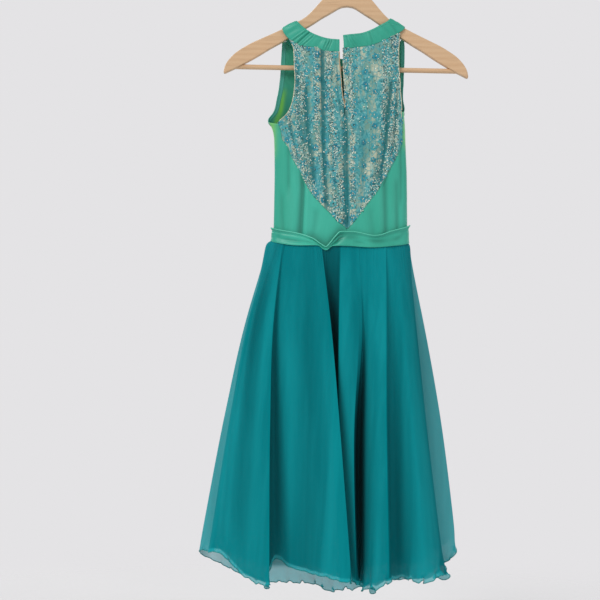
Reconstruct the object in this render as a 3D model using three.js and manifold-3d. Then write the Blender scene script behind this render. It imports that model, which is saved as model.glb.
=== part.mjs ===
// Sleeveless dance dress hanging on a flat wooden hanger. Units are millimetres.
// +Z is up, the back of the dress faces -Y, +X is the wearer's right.
// The origin is the inside top of the hanger's hook.
import * as THREE from 'three';
import Module from 'manifold-3d';

// ---------------------------------------------------------------- sizes
const WALL = 1.2;            // cloth wall thickness
const SEAM = 0.4;            // space left between two sewn pieces
const BELT_OFF = 3.2;        // how far the sash stands off the bodice
const RING_POWER = 2.5;      // 2 is an ellipse, higher is flatter
const RIDGE_LIFT = 3.2;      // cloth over the top of a hanger arm
const RIDGE_ROUND = 10;      // height in which the cloth turns from top to side
const ARM_HALF = 7;          // half thickness of the wood
const ARM_EDGE = 2;          // rounding of the wood
const BAR_R = 4.5, BAR_HALF = 204, BAR_Z = -225.4;
const WIRE_R = 1.9, HOOK_R = 20;
const CLEAR = 0.3;

// ---------------------------------------------------------------- helpers
const clamp = (v, a, b) => Math.max(a, Math.min(b, v));

// table of rows [key, value] read with straight lines between the rows
function lookup(rows, key) {
  const up = rows[0][0] < rows[rows.length - 1][0];
  const r = up ? rows : [...rows].reverse();
  if (key <= r[0][0]) return r[0][1];
  for (let i = 1; i < r.length; i++) {
    if (key <= r[i][0]) {
      const t = (key - r[i - 1][0]) / (r[i][0] - r[i - 1][0]);
      return r[i - 1][1] + t * (r[i][1] - r[i - 1][1]);
    }
  }
  return r[r.length - 1][1];
}

// slope at a row between the slopes before and after it, without overshoot
const between = (a, b, h0, h1) => (a * b <= 0 ? 0 : (3 * (h0 + h1)) / ((2 * h1 + h0) / a + (h1 + 2 * h0) / b));
// smooth curve through [knots, values]; soft lets it swing past the rows as cloth does
function through(knots, vals, soft = false) {
  const n = vals.length, m = [];
  for (let i = 0; i < n; i++) {
    const a = i ? (vals[i] - vals[i - 1]) / (knots[i] - knots[i - 1]) : null;
    const b = i < n - 1 ? (vals[i + 1] - vals[i]) / (knots[i + 1] - knots[i]) : null;
    if (a === null) m.push(b);
    else if (b === null) m.push(a);
    else {
      const h0 = knots[i] - knots[i - 1], h1 = knots[i + 1] - knots[i];
      m.push(soft ? (a * h1 + b * h0) / (h0 + h1) : between(a, b, h0, h1));
    }
  }
  return (p) => {
    let i = 1;
    while (i < n - 1 && p > knots[i]) i++;
    const h = knots[i] - knots[i - 1], t = clamp((p - knots[i - 1]) / h, 0, 1);
    return (2 * t ** 3 - 3 * t ** 2 + 1) * vals[i - 1] + (t ** 3 - 2 * t ** 2 + t) * h * m[i - 1]
      + (-2 * t ** 3 + 3 * t ** 2) * vals[i] + (t ** 3 - t ** 2) * h * m[i];
  };
}
// smooth curve through points, p in 0..1 by chord length
function curve(pts, scale = [1, 1]) {
  const k = [0];
  for (let i = 1; i < pts.length; i++) {
    k.push(k[i - 1] + Math.max(Math.hypot(...pts[i].map((v, j) => (v - pts[i - 1][j]) * scale[j])), 1e-6));
  }
  const f = pts[0].map((_, j) => through(k, pts.map((r) => r[j])));
  return (p) => f.map((g) => g(clamp(p, 0, 1) * k[k.length - 1]));
}

// ---------------------------------------------------------------- hanger
// x from the middle, upper edge, lower edge
const ARM = [
  [0, -71, -112.2], [10, -72, -113.6], [22, -78.5, -120], [34, -89, -127.5], [46, -101, -134.5],
  [59, -116, -143.5], [75, -132.5, -153.5], [90, -141.6, -162.5], [105, -149.5, -171.5],
  [120, -157, -181], [140, -166.5, -192.5], [157, -174.4, -203.5], [172, -181.5, -212.5],
  [187, -190.3, -221], [200, -199, -228.2], [210, -208.4, -233], [217, -217.5, -236.4],
  [221.5, -226.5, -238.4], [223, -232.5, -237.6],
];
const armTop = (x) => lookup(ARM.map((r) => [r[0], r[1]]), Math.abs(x));
const ridge = (x) => armTop(x) + RIDGE_LIFT;

// ---------------------------------------------------------------- bodice rings
// level, left side, right side, depth to the back, depth to the front
const RING = [
  [-100, -150, 135, 12, 12], [-180, -150, 132, 15, 15], [-250, -149, 122, 18, 17],
  [-285, -146.5, 112, 20, 18.5], [-301.7, -144.5, 107, 21, 19], [-318, -141.5, 108.4, 21.8, 19.8],
  [-326, -139, 109.2, 22.3, 20.2], [-334, -133.6, 109.8, 22.8, 20.6], [-343, -130.1, 110.2, 23.2, 21],
  [-354, -128.1, 110.8, 23.6, 21.4], [-376, -126.7, 111.8, 24.4, 22], [-412, -125.7, 114, 25.4, 23],
  [-467, -125.5, 116, 26.8, 24.4], [-513, -125.6, 117.4, 27.8, 25.4], [-540, -126.2, 117.6, 28, 26],
  [-560, -127, 117.8, 28, 26],
];
const ringAt = (z) => [1, 2, 3, 4].map((c) => lookup(RING.map((r) => [r[0], r[c]]), z));

// s runs -1 (left side seam) .. 1 (right side seam); side is -1 back, 1 front
function body(s, z, side) {
  const [xl, xr, db, df] = ringAt(z);
  const xc = (xl + xr) / 2, w = (xr - xl) / 2;
  const a = (Math.PI * clamp(s, -1, 1)) / 2;
  const x = xc + w * Math.sign(a) * Math.abs(Math.sin(a)) ** (2 / RING_POWER);
  const h = clamp(ridge(x) - z, 0, RIDGE_ROUND) / RIDGE_ROUND;
  const turn = Math.sqrt(Math.max(0, 1 - (1 - h) ** 2));
  const y = side * (side < 0 ? db : df) * Math.abs(Math.cos(a)) ** (2 / RING_POWER) * turn;
  return [x, y, z];
}
// place across the ring for a given x
function across(x, z) {
  const [xl, xr] = ringAt(z);
  const xc = (xl + xr) / 2, w = (xr - xl) / 2;
  const X = clamp((x - xc) / w, -1, 1);
  return Math.sign(X) * (2 / Math.PI) * Math.asin(Math.abs(X) ** (RING_POWER / 2));
}
const LEFT = -999, RIGHT = 999;   // stand for the side seams in the tables
const toS = ([x, z]) => [x === LEFT ? -1 : x === RIGHT ? 1 : across(x, z), z];
const edge = (rows) => curve(rows.map(toS), [130, 1]);

// patch between four edges given as curves of (s, z)
function coons(top, bottom, left, right) {
  const p00 = top(0), p10 = top(1), p01 = bottom(0), p11 = bottom(1);
  return (u, v) => {
    const t = top(u), b = bottom(u), l = left(v), r = right(v);
    return [0, 1].map((j) => (1 - v) * t[j] + v * b[j] + (1 - u) * l[j] + u * r[j]
      - ((1 - u) * (1 - v) * p00[j] + u * (1 - v) * p10[j] + (1 - u) * v * p01[j] + u * v * p11[j]));
  };
}

// ---------------------------------------------------------------- shells
// closed wall on a surface P(u, v) -> [x, y, z], out = +1 or -1 turns the normal out
function wall(P, nu, nv, out, lift = 0, e = 2e-3, lim = [0, 1]) {
  const pos = [], idx = [];
  const at = (u, v) => new THREE.Vector3(...P(u, v));
  const normal = (u, v) => {
    const u0 = clamp(u - e, lim[0], lim[1]), u1 = clamp(u + e, lim[0], lim[1]);
    const v0 = clamp(v - e, 0, 1), v1 = clamp(v + e, 0, 1);
    const du = at(u1, v).sub(at(u0, v)), dv = at(u, v1).sub(at(u, v0));
    return du.cross(dv).normalize().multiplyScalar(out);
  };
  for (const off of [lift + WALL / 2, lift - WALL / 2]) {
    for (let j = 0; j <= nv; j++) {
      for (let i = 0; i <= nu; i++) {
        const p = at(i / nu, j / nv).addScaledVector(normal(i / nu, j / nv), off);
        pos.push(p.x, p.y, p.z);
      }
    }
  }
  const N = (nu + 1) * (nv + 1), id = (k, i, j) => k * N + j * (nu + 1) + i;
  const quad = (a, b, c, d) => {
    if (out > 0) idx.push(a, b, c, a, c, d); else idx.push(a, c, b, a, d, c);
  };
  for (let j = 0; j < nv; j++) {
    for (let i = 0; i < nu; i++) {
      quad(id(0, i, j), id(0, i + 1, j), id(0, i + 1, j + 1), id(0, i, j + 1));
      quad(id(1, i, j), id(1, i, j + 1), id(1, i + 1, j + 1), id(1, i + 1, j));
    }
  }
  for (let i = 0; i < nu; i++) {
    quad(id(1, i, 0), id(1, i + 1, 0), id(0, i + 1, 0), id(0, i, 0));
    quad(id(0, i, nv), id(0, i + 1, nv), id(1, i + 1, nv), id(1, i, nv));
  }
  for (let j = 0; j < nv; j++) {
    quad(id(0, 0, j), id(0, 0, j + 1), id(1, 0, j + 1), id(1, 0, j));
    quad(id(1, nu, j), id(1, nu, j + 1), id(0, nu, j + 1), id(0, nu, j));
  }
  const g = new THREE.BufferGeometry();
  g.setAttribute('position', new THREE.Float32BufferAttribute(pos, 3));
  g.setIndex(idx);
  return g;
}
const onBody = (map, side) => (u, v) => { const [s, z] = map(u, v); return body(s, z, side); };

const group = new THREE.Group();
function add(name, geometry, color, roughness = 0.8, metalness = 0) {
  geometry.computeVertexNormals();
  const m = new THREE.Mesh(geometry, new THREE.MeshStandardMaterial({ color, roughness, metalness }));
  m.name = name;
  group.add(m);
  return m;
}

// ---------------------------------------------------------------- seam and edge tables, rows of x, z
const COLLAR_BL = {
  inner: [[-13.3, -174.1], [-28, -173.5], [-54.3, -167.1], [-72.7, -157.7], [-86, -147], [-93, ridge(-93)]],
  outer: [[-12.8, -196.2], [-29, -196.2], [-42, -195.4], [-50, -191], [-66, -189.1], [-83.3, -187.2], [-96.4, -180.4], [-108.6, -171.4], [-115.8, -161.8], [-118, ridge(-118)]],
};
const COLLAR_BR = {
  inner: [[79.5, ridge(79.5)], [73.5, -138.4], [60.5, -146], [42.1, -156], [23.7, -162.2], [5.2, -164.4], [-7.1, -166.1]],
  outer: [[106, ridge(106)], [103.6, -152.6], [95.9, -158.5], [79.4, -168.2], [61.1, -177.1], [40.9, -184.4], [24.2, -187.1], [5.8, -189.5], [-5.3, -189.7]],
};
const COLLAR_F = {
  inner: [[79.5, ridge(79.5)], [74, -146], [62, -166], [45, -186], [25, -200], [0, -205], [-25, -201], [-50, -188], [-72, -167], [-87, -149], [-93, ridge(-93)]],
  outer: [[106, ridge(106)], [104, -158], [92, -176], [76, -194], [54, -215], [28, -229], [0, -233], [-30, -230], [-62, -219], [-88, -200], [-104, -184], [-115, -166], [-118, ridge(-118)]],
};
const SLIT_LEFT = [[-13, -196.8], [-11.5, -222.2], [-8, -258.3], [-5, -280], [-1.4, -298]];
const SLIT_RIGHT = [[-6.5, -190.3], [-5.6, -222.2], [-3, -258.3], [-1.4, -280], [-0.2, -298]];
const CENTRE = [[2.6, -339.6], [5.4, -430.1], [6.9, -512]];
const V_LEFT = [[-121.9, -329.1], [-114.6, -354.9], [-104.5, -369.1], [-96.1, -388.9], [-78.1, -419.3], [-69.1, -438], [-59.3, -454.2], [-42.6, -472.8], [-16.7, -498.5], [1.7, -514.3]];
const V_RIGHT = [[103.2, -304.5], [104.3, -353.9], [99.3, -374.8], [91.5, -391.3], [71.3, -430.6], [60.1, -450], [44.3, -471], [22.6, -500.4], [11.6, -515.1]];
const ARMHOLE_BL = [[-106.3, -174.2], [-101.6, -181.6], [-96.7, -190.5], [-95.3, -204.1], [-94.1, -227.8], [-92.6, -249.5], [-93.5, -267.7], [-96.3, -287.8], [-100.9, -302.4], [-108.5, -314.4], [-119, -324.4]];
const ARMHOLE_BR = [[96.6, -159], [95.4, -172.5], [95.6, -219.8], [97.3, -236.2], [99.3, -261.6], [102.2, -290]];
const ARMHOLE_FL = [[-117.4, -170.5], [-118.8, -210], [-119.7, -237.5], [-121.3, -255.9], [-124.7, -278], [-129.5, -301.9], [LEFT, -326]];
const ARMHOLE_FR = [[104.6, -161], [107.2, -205.3], [106.4, -251.1], [106, -278.6], [RIGHT, -301.7]];
const BAND_FL = [[-110.9, -178.5], [-111, -210], [-111.9, -237.4], [-113.5, -255.7], [-117.2, -279.6], [-122.4, -303], [LEFT, -332.5]];
const BAND_FR = [[98.8, -170.6], [101, -205], [100.3, -251], [100, -279], [RIGHT, -308.5]];
const WAIST = [[-126, -538], [-79, -544], [-30, -548], [16, -546.4], [49, -545.6], [85, -542.6], [118, -536]];
const WAIST_F = [[-126, -538], [-60, -540.4], [0, -541.4], [60, -540.4], [118, -536]];
const BELT_TOP = [[LEFT, -518.6], [-121, -521], [-110, -523.6], [-79.4, -529], [-54.3, -537.2], [-39, -547.2], [-30.1, -551.6], [-23, -544.6], [-14, -533], [-3, -524], [12.6, -523.5], [56.6, -529.8], [88, -520.6], [106, -515], [114, -511.6], [RIGHT, -509]];
const BELT_LOW = [[LEFT, -541.5], [-119, -545.2], [-79, -549.8], [-45.6, -549], [-30, -557.6], [-17.6, -549.6], [-3, -549], [49.3, -550.7], [88, -547.3], [RIGHT, -540.2]];
const waistZ = (x, side = -1) => lookup(side < 0 ? WAIST : WAIST_F, x);

const shift = (rows, dx, dz) => rows.map(([x, z]) => [Math.abs(x) === RIGHT ? x : x + dx, z + dz]);
const S2 = SEAM / 2, WIDE = 0.5;   // WIDE is used on each side where a seam bends

const SIDE_GAP = 0.004;       // share of the ring left open at the side seams
const draw = (s) => s - Math.sign(s) * SIDE_GAP * Math.abs(s) ** 8;
const inset = (map) => (u, v) => { const [s, z] = map(u, v); return [draw(s), z]; };

// ---------------------------------------------------------------- collar
const RIDGE_GAP = 0.003;       // keeps the shoulder seams open
// pack draws the sections closer together towards the shoulders
function collar(name, t, side, nu, flip, pack) {
  const a = edge(t.inner), b = edge(t.outer);
  const map = (u, v) => {
    const w = pack(u), p = a(w), q = b(w), s = p[0] + v * (q[0] - p[0]), z = p[1] + v * (q[1] - p[1]);
    return [s, Math.min(z, ridge(body(s, z, side)[0]) - RIDGE_GAP)];
  };
  add(name, wall(onBody(map, side), nu, 4, flip, 0, 0.02), 0x2f9a78, 0.45);
}

const backEdgeTop = (rows) => shift(rows, 0, -1.5);
collar('collar_back_left', COLLAR_BL, -1, 15, -1, (u) => 1 - (1 - u) ** 1.4);
collar('collar_back_right', COLLAR_BR, -1, 15, -1, (u) => u ** 1.4);
collar('collar_front', COLLAR_F, 1, 26, 1, (u) => (u < 0.5 ? (2 * u) ** 1.4 / 2 : 1 - (2 - 2 * u) ** 1.4 / 2));

// ---------------------------------------------------------------- lace halves
const laceTopL = [[-106.3, -174.2], ...backEdgeTop(COLLAR_BL.outer).filter(([x]) => x > -100 && x < -14).reverse(), SLIT_LEFT[0]];
add('lace_back_left', wall(onBody(coons(
  edge(laceTopL), edge([[1.4, -513.6], [6.6, -518.6]]),
  edge([...ARMHOLE_BL, ...shift(V_LEFT, WIDE, WIDE / 2)  .slice(0, -1), [1.4, -513.6]]),
  edge([...SLIT_LEFT, ...shift(CENTRE, -WIDE, 0), [6.6, -518.6]]),
), -1), 10, 14, 1), 0x5fb6b6, 0.5);
const laceTopR = [SLIT_RIGHT[0], ...backEdgeTop(COLLAR_BR.outer).filter(([x]) => x > -5 && x < 90).reverse(), [96.6, -159]];
add('lace_back_right', wall(onBody(coons(
  edge(laceTopR), edge([[7.1, -518.8], [12.4, -513.6]]),
  edge([...SLIT_RIGHT, ...shift(CENTRE, WIDE, 0), [7.1, -518.8]]),
  edge([...ARMHOLE_BR, ...shift(V_RIGHT, -WIDE, WIDE / 2)  .slice(0, -1), [12.4, -513.6]]),
), -1), 10, 14, 1), 0x5fb6b6, 0.5);

// ---------------------------------------------------------------- side back panels
const waistRow = (x0, x1, n, side = -1) => Array.from({ length: n + 1 }, (_, i) => {
  const x = x0 + ((x1 - x0) * i) / n;
  return [x, waistZ(x, side) + WIDE];
});
// one edge made of two tables, the first taking the given share of the length
const joined = (first, second, share) => (p) => (p < share ? first(p / share) : second((p - share) / (1 - share)));
const CB = 6.9;
const lowL = [[LEFT, waistZ(-126) + WIDE], ...waistRow(-112, CB - WIDE, 14)];
add('side_back_left', wall(onBody(inset(coons(
  edge([[LEFT, -326], [-130, -328.8], [-122.5, -330.2]]), edge(lowL),
  edge([[LEFT, -326], [LEFT, -430], [LEFT, waistZ(-126) + WIDE]]),
  edge([[-122.5, -330.2], ...shift(V_LEFT, -WIDE, -WIDE * 1.5).slice(1), [CB - WIDE, -520.4], [CB - WIDE, waistZ(CB) + WIDE]]),
)), -1), 9, 14, 1), 0x3fa287, 0.4);
const lowR = [...waistRow(CB + WIDE, 104, 12), [RIGHT, waistZ(118) + WIDE]];
add('side_back_right', wall(onBody(inset(coons(
  edge([[103.9, -302.4], [105.6, -302], [RIGHT, -301.8]]), edge(lowR),
  edge([[103.9, -302.4], ...shift(V_RIGHT, WIDE, -WIDE * 1.5).slice(1), [CB + WIDE, -520.6], [CB + WIDE, waistZ(CB) + WIDE]]),
  edge([[RIGHT, -301.8], [RIGHT, -420], [RIGHT, waistZ(118) + WIDE]]),
)), -1), 9, 14, 1), 0x3fa287, 0.4);

// ---------------------------------------------------------------- front
const topF = [[-110.4, -179], ...shift(COLLAR_F.outer, 0, -1.5).filter(([x]) => x > -106 && x < 96).reverse(), [98.3, -171.1]];
add('bodice_front', wall(onBody(inset(coons(
  edge(topF), edge([[LEFT, -538 + WIDE], ...waistRow(-118, 110, 14, 1), [RIGHT, -536 + WIDE]]),
  joined(edge(shift(BAND_FL, WIDE, -WIDE)), edge([[LEFT, -333], [LEFT, -538 + WIDE]]), 7 / 15),
  joined(edge(shift(BAND_FR, -WIDE, -WIDE)), edge([[RIGHT, -309], [RIGHT, -536 + WIDE]]), 7 / 15),
)), 1), 16, 15, -1), 0x3a9a72, 0.45);
function band(name, rows, inner, out) {
  const a = edge(rows), b = edge(inner);
  const map = (u, v) => { const p = a(v), q = b(v); return [p[0] + u * (q[0] - p[0]), p[1] + u * (q[1] - p[1])]; };
  add(name, wall(onBody(inset(map), 1), 2, 7, out), 0x2a8a72, 0.45);
}
band('armhole_band_left', ARMHOLE_FL, BAND_FL, -1);
band('armhole_band_right', ARMHOLE_FR, BAND_FR, 1);

// ---------------------------------------------------------------- sash
function sash(name, top, low, side, out, each) {
  const place = (rows) => { const q = rows.map(toS); return through(q.map((r) => r[0]), q.map((r) => r[1])); };
  const n = top.length - 1, at = top.map((r) => toS(r)[0]);
  const step = through(at.map((_, i) => i / n), at), a = place(top), b = place(low);
  const map = (u, v) => { const s = step(u); return [s, a(s) + v * (b(s) - a(s))]; };
  add(name, wall(onBody(inset(map), side), n * each, 3, out, BELT_OFF), 0x43a488, 0.35);
}
sash('belt_back', BELT_TOP, BELT_LOW, -1, -1, 2);
sash('belt_front', [[LEFT, -518.6], [-70, -521], [0, -522], [70, -518], [RIGHT, -509]],
  [[LEFT, -541.5], [-70, -545], [0, -546], [70, -544], [RIGHT, -540.2]], 1, 1, 5);

// ---------------------------------------------------------------- skirt
// one row per fold line from the left seam round the back to the right seam:
// name, x at the waist, x and y a quarter of the way down, x and y a little past half way,
// x and y at the hem, level of the hem
const FOLDS_BACK = [
  ['left seam', LEFT, -161, -10, -190, -14, -222, -14, -1108],
  ['left edge', -120, -166, -24, -195, -34, -230, -46, -1105],
  ['left crest', -115.5, -158, -38, -180, -60, -200, -84, -1104],
  ['left valley', -112, -148, -37, -161, -57, -169, -86, -1135],
  ['ridge side', -109.5, -135, -50, -138, -78, -140, -104, -1147],
  ['first ridge', -106.5, -122, -54, -123, -88, -118, -120, -1149],
  ['under first ridge', -103, -124, -42, -127, -64, -124, -84, -1152],
  ['first groove', -99.5, -117, -38, -117, -47, -110, -54, -1112],
  ['panel left', -82, -94, -51, -90, -70, -83, -66, -1125],
  ['panel valley', -62, -58, -46, -49, -62, -53, -72, -1132],
  ['panel crest', -48, -33, -54, -20, -82, -10, -104, -1137],
  ['centre left edge', -39, -18, -57, 1, -92, 27, -114, -1142],
  ['under centre left edge', -33, -23, -43, -5, -70, 18, -84, -1146],
  ['centre floor', -20, -11, -28, -10, -46, 10, -56, -1150],
  ['under centre right edge', -8, 1, -38, 1, -50, 20, -56, -1150],
  ['centre right edge', -5, -5, -51, -1, -62, 19, -70, -1149],
  ['second crest', 10, 15, -55, 14, -72, 28, -80, -1146],
  ['second edge', 24, 33, -48, 27, -75, 36, -86, -1147],
  ['under second edge', 31, 36, -44, 25, -58, 34, -64, -1150],
  ['second groove', 38, 41, -40, 36, -26, 43, -22, -1154],
  ['third slope', 46, 51, -50, 49, -62, 51, -74, -1158],
  ['third ridge', 62, 64, -56, 68, -84, 70, -112, -1153],
  ['third edge', 76, 80, -57, 83, -88, 92, -117, -1138],
  ['under third edge', 80, 79, -45, 81, -66, 90, -82, -1141],
  ['third groove', 86, 91, -38, 96, -46, 107, -48, -1144],
  ['bright ridge', 98, 113, -47, 134, -64, 160, -86, -1141],
  ['right flank', 106, 126, -39, 149, -50, 182, -68, -1135],
  ['right edge', 114, 136, -22, 158, -30, 196, -36, -1139],
  ['right seam', RIGHT, 133, -10, 155, -13, 192, -12, -1127],
];
// the same for the front, from the right seam to the left seam
const FOLDS_FRONT = [
  ['right seam', RIGHT, 133, -10, 155, -13, 192, -12, -1127],
  ['outer right', 115, 149, 2, 183, 6, 222, 8, -1101],
  ['front right', 105, 143, 20, 172, 34, 209, 48, -1127],
  ['front ridge one', 76, 115, 36, 137, 50, 168, 66, -1161],
  ['front valley one', 36, 59, 26, 71, 34, 99, 38, -1163],
  ['front ridge two', -8, 0, 38, 7, 52, 0, 70, -1192],
  ['front valley two', -46, -54, 26, -46, 34, -38, 40, -1174],
  ['front ridge three', -86, -117, 38, -130, 52, -135, 70, -1176],
  ['front left', -113, -162, 20, -195, 34, -221, 46, -1138],
  ['outer left', -123, -171, 2, -207, 6, -252, 10, -1113],
  ['left seam', LEFT, -161, -10, -190, -14, -222, -14, -1108],
];
const DOWN = [0, 0.25, 0.55, 1];      // where the rows sit down the length
const FLARE_L = 11.5, FLARE_R = 6;    // how far the gathers stand out past the sash at the side seams
const SKIRT_TRIM = 0.0022;     // share of the hem left open at each side seam
const PANEL_TRIM = 0.0007;     // and on each side of a cut between two parts of one piece

// level of each section down the skirt, closer together below the sash
const SKIRT_ROWS = [0, 0.009, 0.022, 0.13, 0.26, 0.4, 0.55, 0.7, 0.85, 1].map((v, i) => [i / 9, v]);
// pieces: [node name, first row, last row, sections across]
function skirt(rows, side, nv, out, pieces) {
  // place along the piece by chord at the hem, so that narrow folds get enough points
  const key = [0];
  for (let i = 1; i < rows.length; i++) key.push(key[i - 1] + Math.hypot(rows[i][6] - rows[i - 1][6], rows[i][7] - rows[i - 1][7]));
  const share = key.map((v) => v / key[key.length - 1]);
  const column = (f) => through(share, rows.map(f), true);
  const sTop = column((r) => toS([r[1], -542])[0]);
  const [x1, y1, x2, y2, xh, yh, zh] = [2, 3, 4, 5, 6, 7, 8].map((c) => column((r) => r[c]));
  const P = (at, v) => {
    const u = SKIRT_TRIM + (1 - 2 * SKIRT_TRIM) * at;
    const s = draw(clamp(sTop(u), -1, 1));
    const zt = waistZ(body(s, -542, side)[0], side) - WIDE;
    const top = body(s, zt, side);
    const flare = (s < 0 ? -FLARE_L : FLARE_R) * Math.abs(s) ** 3;
    const tuck = v < 0.008 ? 1 : Math.exp((0.008 - v) / 0.007);
    return [
      through(DOWN, [top[0] + flare, x1(u), x2(u), xh(u)], true)(v) - flare * tuck,
      through(DOWN, [top[1], y1(u), y2(u), yh(u)], true)(v),
      zt + (zh(u) - zt) * v,
    ];
  };
  const row = (label) => rows.findIndex((r) => r[0] === label);
  for (const [name, first, last, nu] of pieces) {
    const a = row(first), b = row(last), inA = a > 0, inB = b < rows.length - 1;
    const lo = share[a] + (inA ? PANEL_TRIM : 0), hi = share[b] - (inB ? PANEL_TRIM : 0), w = hi - lo;
    const part = (u, v) => P(lo + w * u, lookup(SKIRT_ROWS, v));
    add(name, wall(part, nu, nv, out, 0, 2e-3, [inA ? -1 : 0, inB ? 2 : 1]), 0x14858c, 0.7);
  }
}
skirt(FOLDS_BACK, -1, 9, 1, [
  ['skirt_back_left', 'left seam', 'first groove', 20],
  ['skirt_back_centre', 'first groove', 'second groove', 25],
  ['skirt_back_right', 'second groove', 'right seam', 22],
]);
skirt(FOLDS_FRONT, 1, 9, 1, [
  ['skirt_front_right', 'right seam', 'front ridge two', 17],
  ['skirt_front_left', 'front ridge two', 'left seam', 17],
]);

// ---------------------------------------------------------------- hanger parts
const wasm = await Module();
wasm.setup();
const { Manifold, Mesh } = wasm;

function armLoft() {
  const rows = ARM.map((r) => r[0]), half = [];
  const top = through(rows, ARM.map((r) => r[1])), low = through(rows, ARM.map((r) => r[2]));
  rows.forEach((x, i) => { half.push(x); if (i < rows.length - 1) half.push((x + rows[i + 1]) / 2); });
  const xs = [...half.slice(1).map((x) => -x).reverse(), ...half];
  const corner = [[1, 0], [0.293, 0.293], [0, 1]];     // share of the rounding, in from the side and from the face
  const pos = [], idx = [], n = 12, k = xs.length, end = half[half.length - 1];
  for (const x of xs) {
    const a = Math.abs(x), zt = top(a), zb = low(a), e = Math.min(ARM_EDGE, (zt - zb) / 3);
    const h = ARM_HALF - 2.5 * clamp((a - end + 4) / 4, 0, 1) ** 2;
    for (const [p, q] of corner) pos.push(x, -h + e * q, zb + e * p);
    for (const [p, q] of [...corner].reverse()) pos.push(x, h - e * q, zb + e * p);
    for (const [p, q] of corner) pos.push(x, h - e * q, zt - e * p);
    for (const [p, q] of [...corner].reverse()) pos.push(x, -h + e * q, zt - e * p);
  }
  for (let i = 0; i < k - 1; i++) {
    for (let j = 0; j < n; j++) {
      const a = i * n + j, b = i * n + ((j + 1) % n), c = a + n, d = b + n;
      idx.push(a, b, d, a, d, c);
    }
  }
  for (let j = 1; j < n - 1; j++) {
    idx.push(0, j + 1, j);
    const o = (k - 1) * n;
    idx.push(o, o + j, o + j + 1);
  }
  return new Mesh({ numProp: 3, vertProperties: new Float32Array(pos), triVerts: new Uint32Array(idx) });
}
function toGeometry(m) {
  const mesh = m.getMesh();
  const g = new THREE.BufferGeometry();
  g.setAttribute('position', new THREE.Float32BufferAttribute(Array.from(mesh.vertProperties), 3));
  g.setIndex(Array.from(mesh.triVerts));
  return g;
}
const bore = Manifold.cylinder(2 * (BAR_HALF + CLEAR), BAR_R + CLEAR, BAR_R + CLEAR, 24, true)
  .rotate([0, 90, 0]).translate([0, 0, BAR_Z]);
const socket = Manifold.cylinder(40, WIRE_R + CLEAR, WIRE_R + CLEAR, 16, true).translate([0, 0, -66]);
let wood = new Manifold(armLoft());
if (wood.volume() < 0) throw new Error('hanger is inside out');
wood = wood.subtract(bore).subtract(socket);
add('hanger_arms', toGeometry(wood), 0xcda578, 0.6);
add('hanger_bar', toGeometry(Manifold.cylinder(2 * BAR_HALF, BAR_R, BAR_R, 24, true).rotate([0, 90, 0]).translate([0, 0, BAR_Z])), 0xcda578, 0.6);

// wire swept along a smooth path in the plane y = 0
function wirePath() {
  const r = HOOK_R + WIRE_R, cz = -HOOK_R, pts = [[0, -85.5], [0, -70], [0, -57], [3, -49]];
  for (let a = -62; a <= 205; a += 12) pts.push([r * Math.cos((a * Math.PI) / 180), cz + r * Math.sin((a * Math.PI) / 180)]);
  return curve(pts);
}
function wire(path, n, m) {
  const pos = [], idx = [];
  for (let i = 0; i <= n; i++) {
    const u = i / n, p = path(u), a = path(clamp(u - 1e-3, 0, 1)), b = path(clamp(u + 1e-3, 0, 1));
    const l = Math.hypot(b[0] - a[0], b[1] - a[1]), nx = -(b[1] - a[1]) / l, nz = (b[0] - a[0]) / l;
    for (let j = 0; j < m; j++) {
      const t = (2 * Math.PI * j) / m, c = WIRE_R * Math.cos(t), s = WIRE_R * Math.sin(t);
      pos.push(p[0] + nx * c, s, p[1] + nz * c);
    }
  }
  for (let i = 0; i < n; i++) {
    for (let j = 0; j < m; j++) {
      const a = i * m + j, b = i * m + ((j + 1) % m), c = a + m, d = b + m;
      idx.push(a, d, b, a, c, d);
    }
  }
  for (let j = 1; j < m - 1; j++) {
    idx.push(0, j, j + 1);
    idx.push(n * m, n * m + j + 1, n * m + j);
  }
  const g = new THREE.BufferGeometry();
  g.setAttribute('position', new THREE.Float32BufferAttribute(pos, 3));
  g.setIndex(idx);
  return g;
}
add('hanger_hook', wire(wirePath(), 44, 12), 0xb8bcc0, 0.3, 1);

export default group;
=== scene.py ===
import math

import bpy
import numpy as np
from mathutils import Matrix, Vector


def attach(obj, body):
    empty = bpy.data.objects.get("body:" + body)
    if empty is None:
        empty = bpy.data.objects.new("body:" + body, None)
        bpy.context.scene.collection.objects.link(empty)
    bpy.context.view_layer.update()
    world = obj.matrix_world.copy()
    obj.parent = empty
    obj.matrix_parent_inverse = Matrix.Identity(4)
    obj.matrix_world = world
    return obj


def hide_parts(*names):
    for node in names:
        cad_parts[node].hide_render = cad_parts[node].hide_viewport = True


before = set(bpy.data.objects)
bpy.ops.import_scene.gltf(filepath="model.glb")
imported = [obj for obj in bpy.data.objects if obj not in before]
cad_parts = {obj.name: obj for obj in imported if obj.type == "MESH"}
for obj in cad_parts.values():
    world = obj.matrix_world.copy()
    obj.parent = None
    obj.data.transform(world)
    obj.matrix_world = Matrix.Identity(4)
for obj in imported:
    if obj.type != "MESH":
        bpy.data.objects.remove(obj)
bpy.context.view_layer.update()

RNG = np.random.default_rng(7)
scene = bpy.context.scene

# ------------------------------------------------------------------ camera
# The picture is level apart from a small roll, and its scale is taken at the hanger.
ROLL = math.radians(1.2)
SCALE = 1.8273           # mm for one unit of the 600 wide frame, at the hanger
DIST = 2600.0            # mm from the camera to the hanger
XC, ZC = -75.1, -649.1   # what the middle of the frame looks at, mm


def pic(px, py, y=-24.0):
    """Frame position to (x, z) in mm at depth y."""
    px, py = np.asarray(px, float) - 300, np.asarray(py, float) - 300
    k = SCALE * (DIST + y) / DIST
    return (XC + k * (px * math.cos(ROLL) + py * math.sin(ROLL)),
            ZC - k * (-px * math.sin(ROLL) + py * math.cos(ROLL)))


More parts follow.
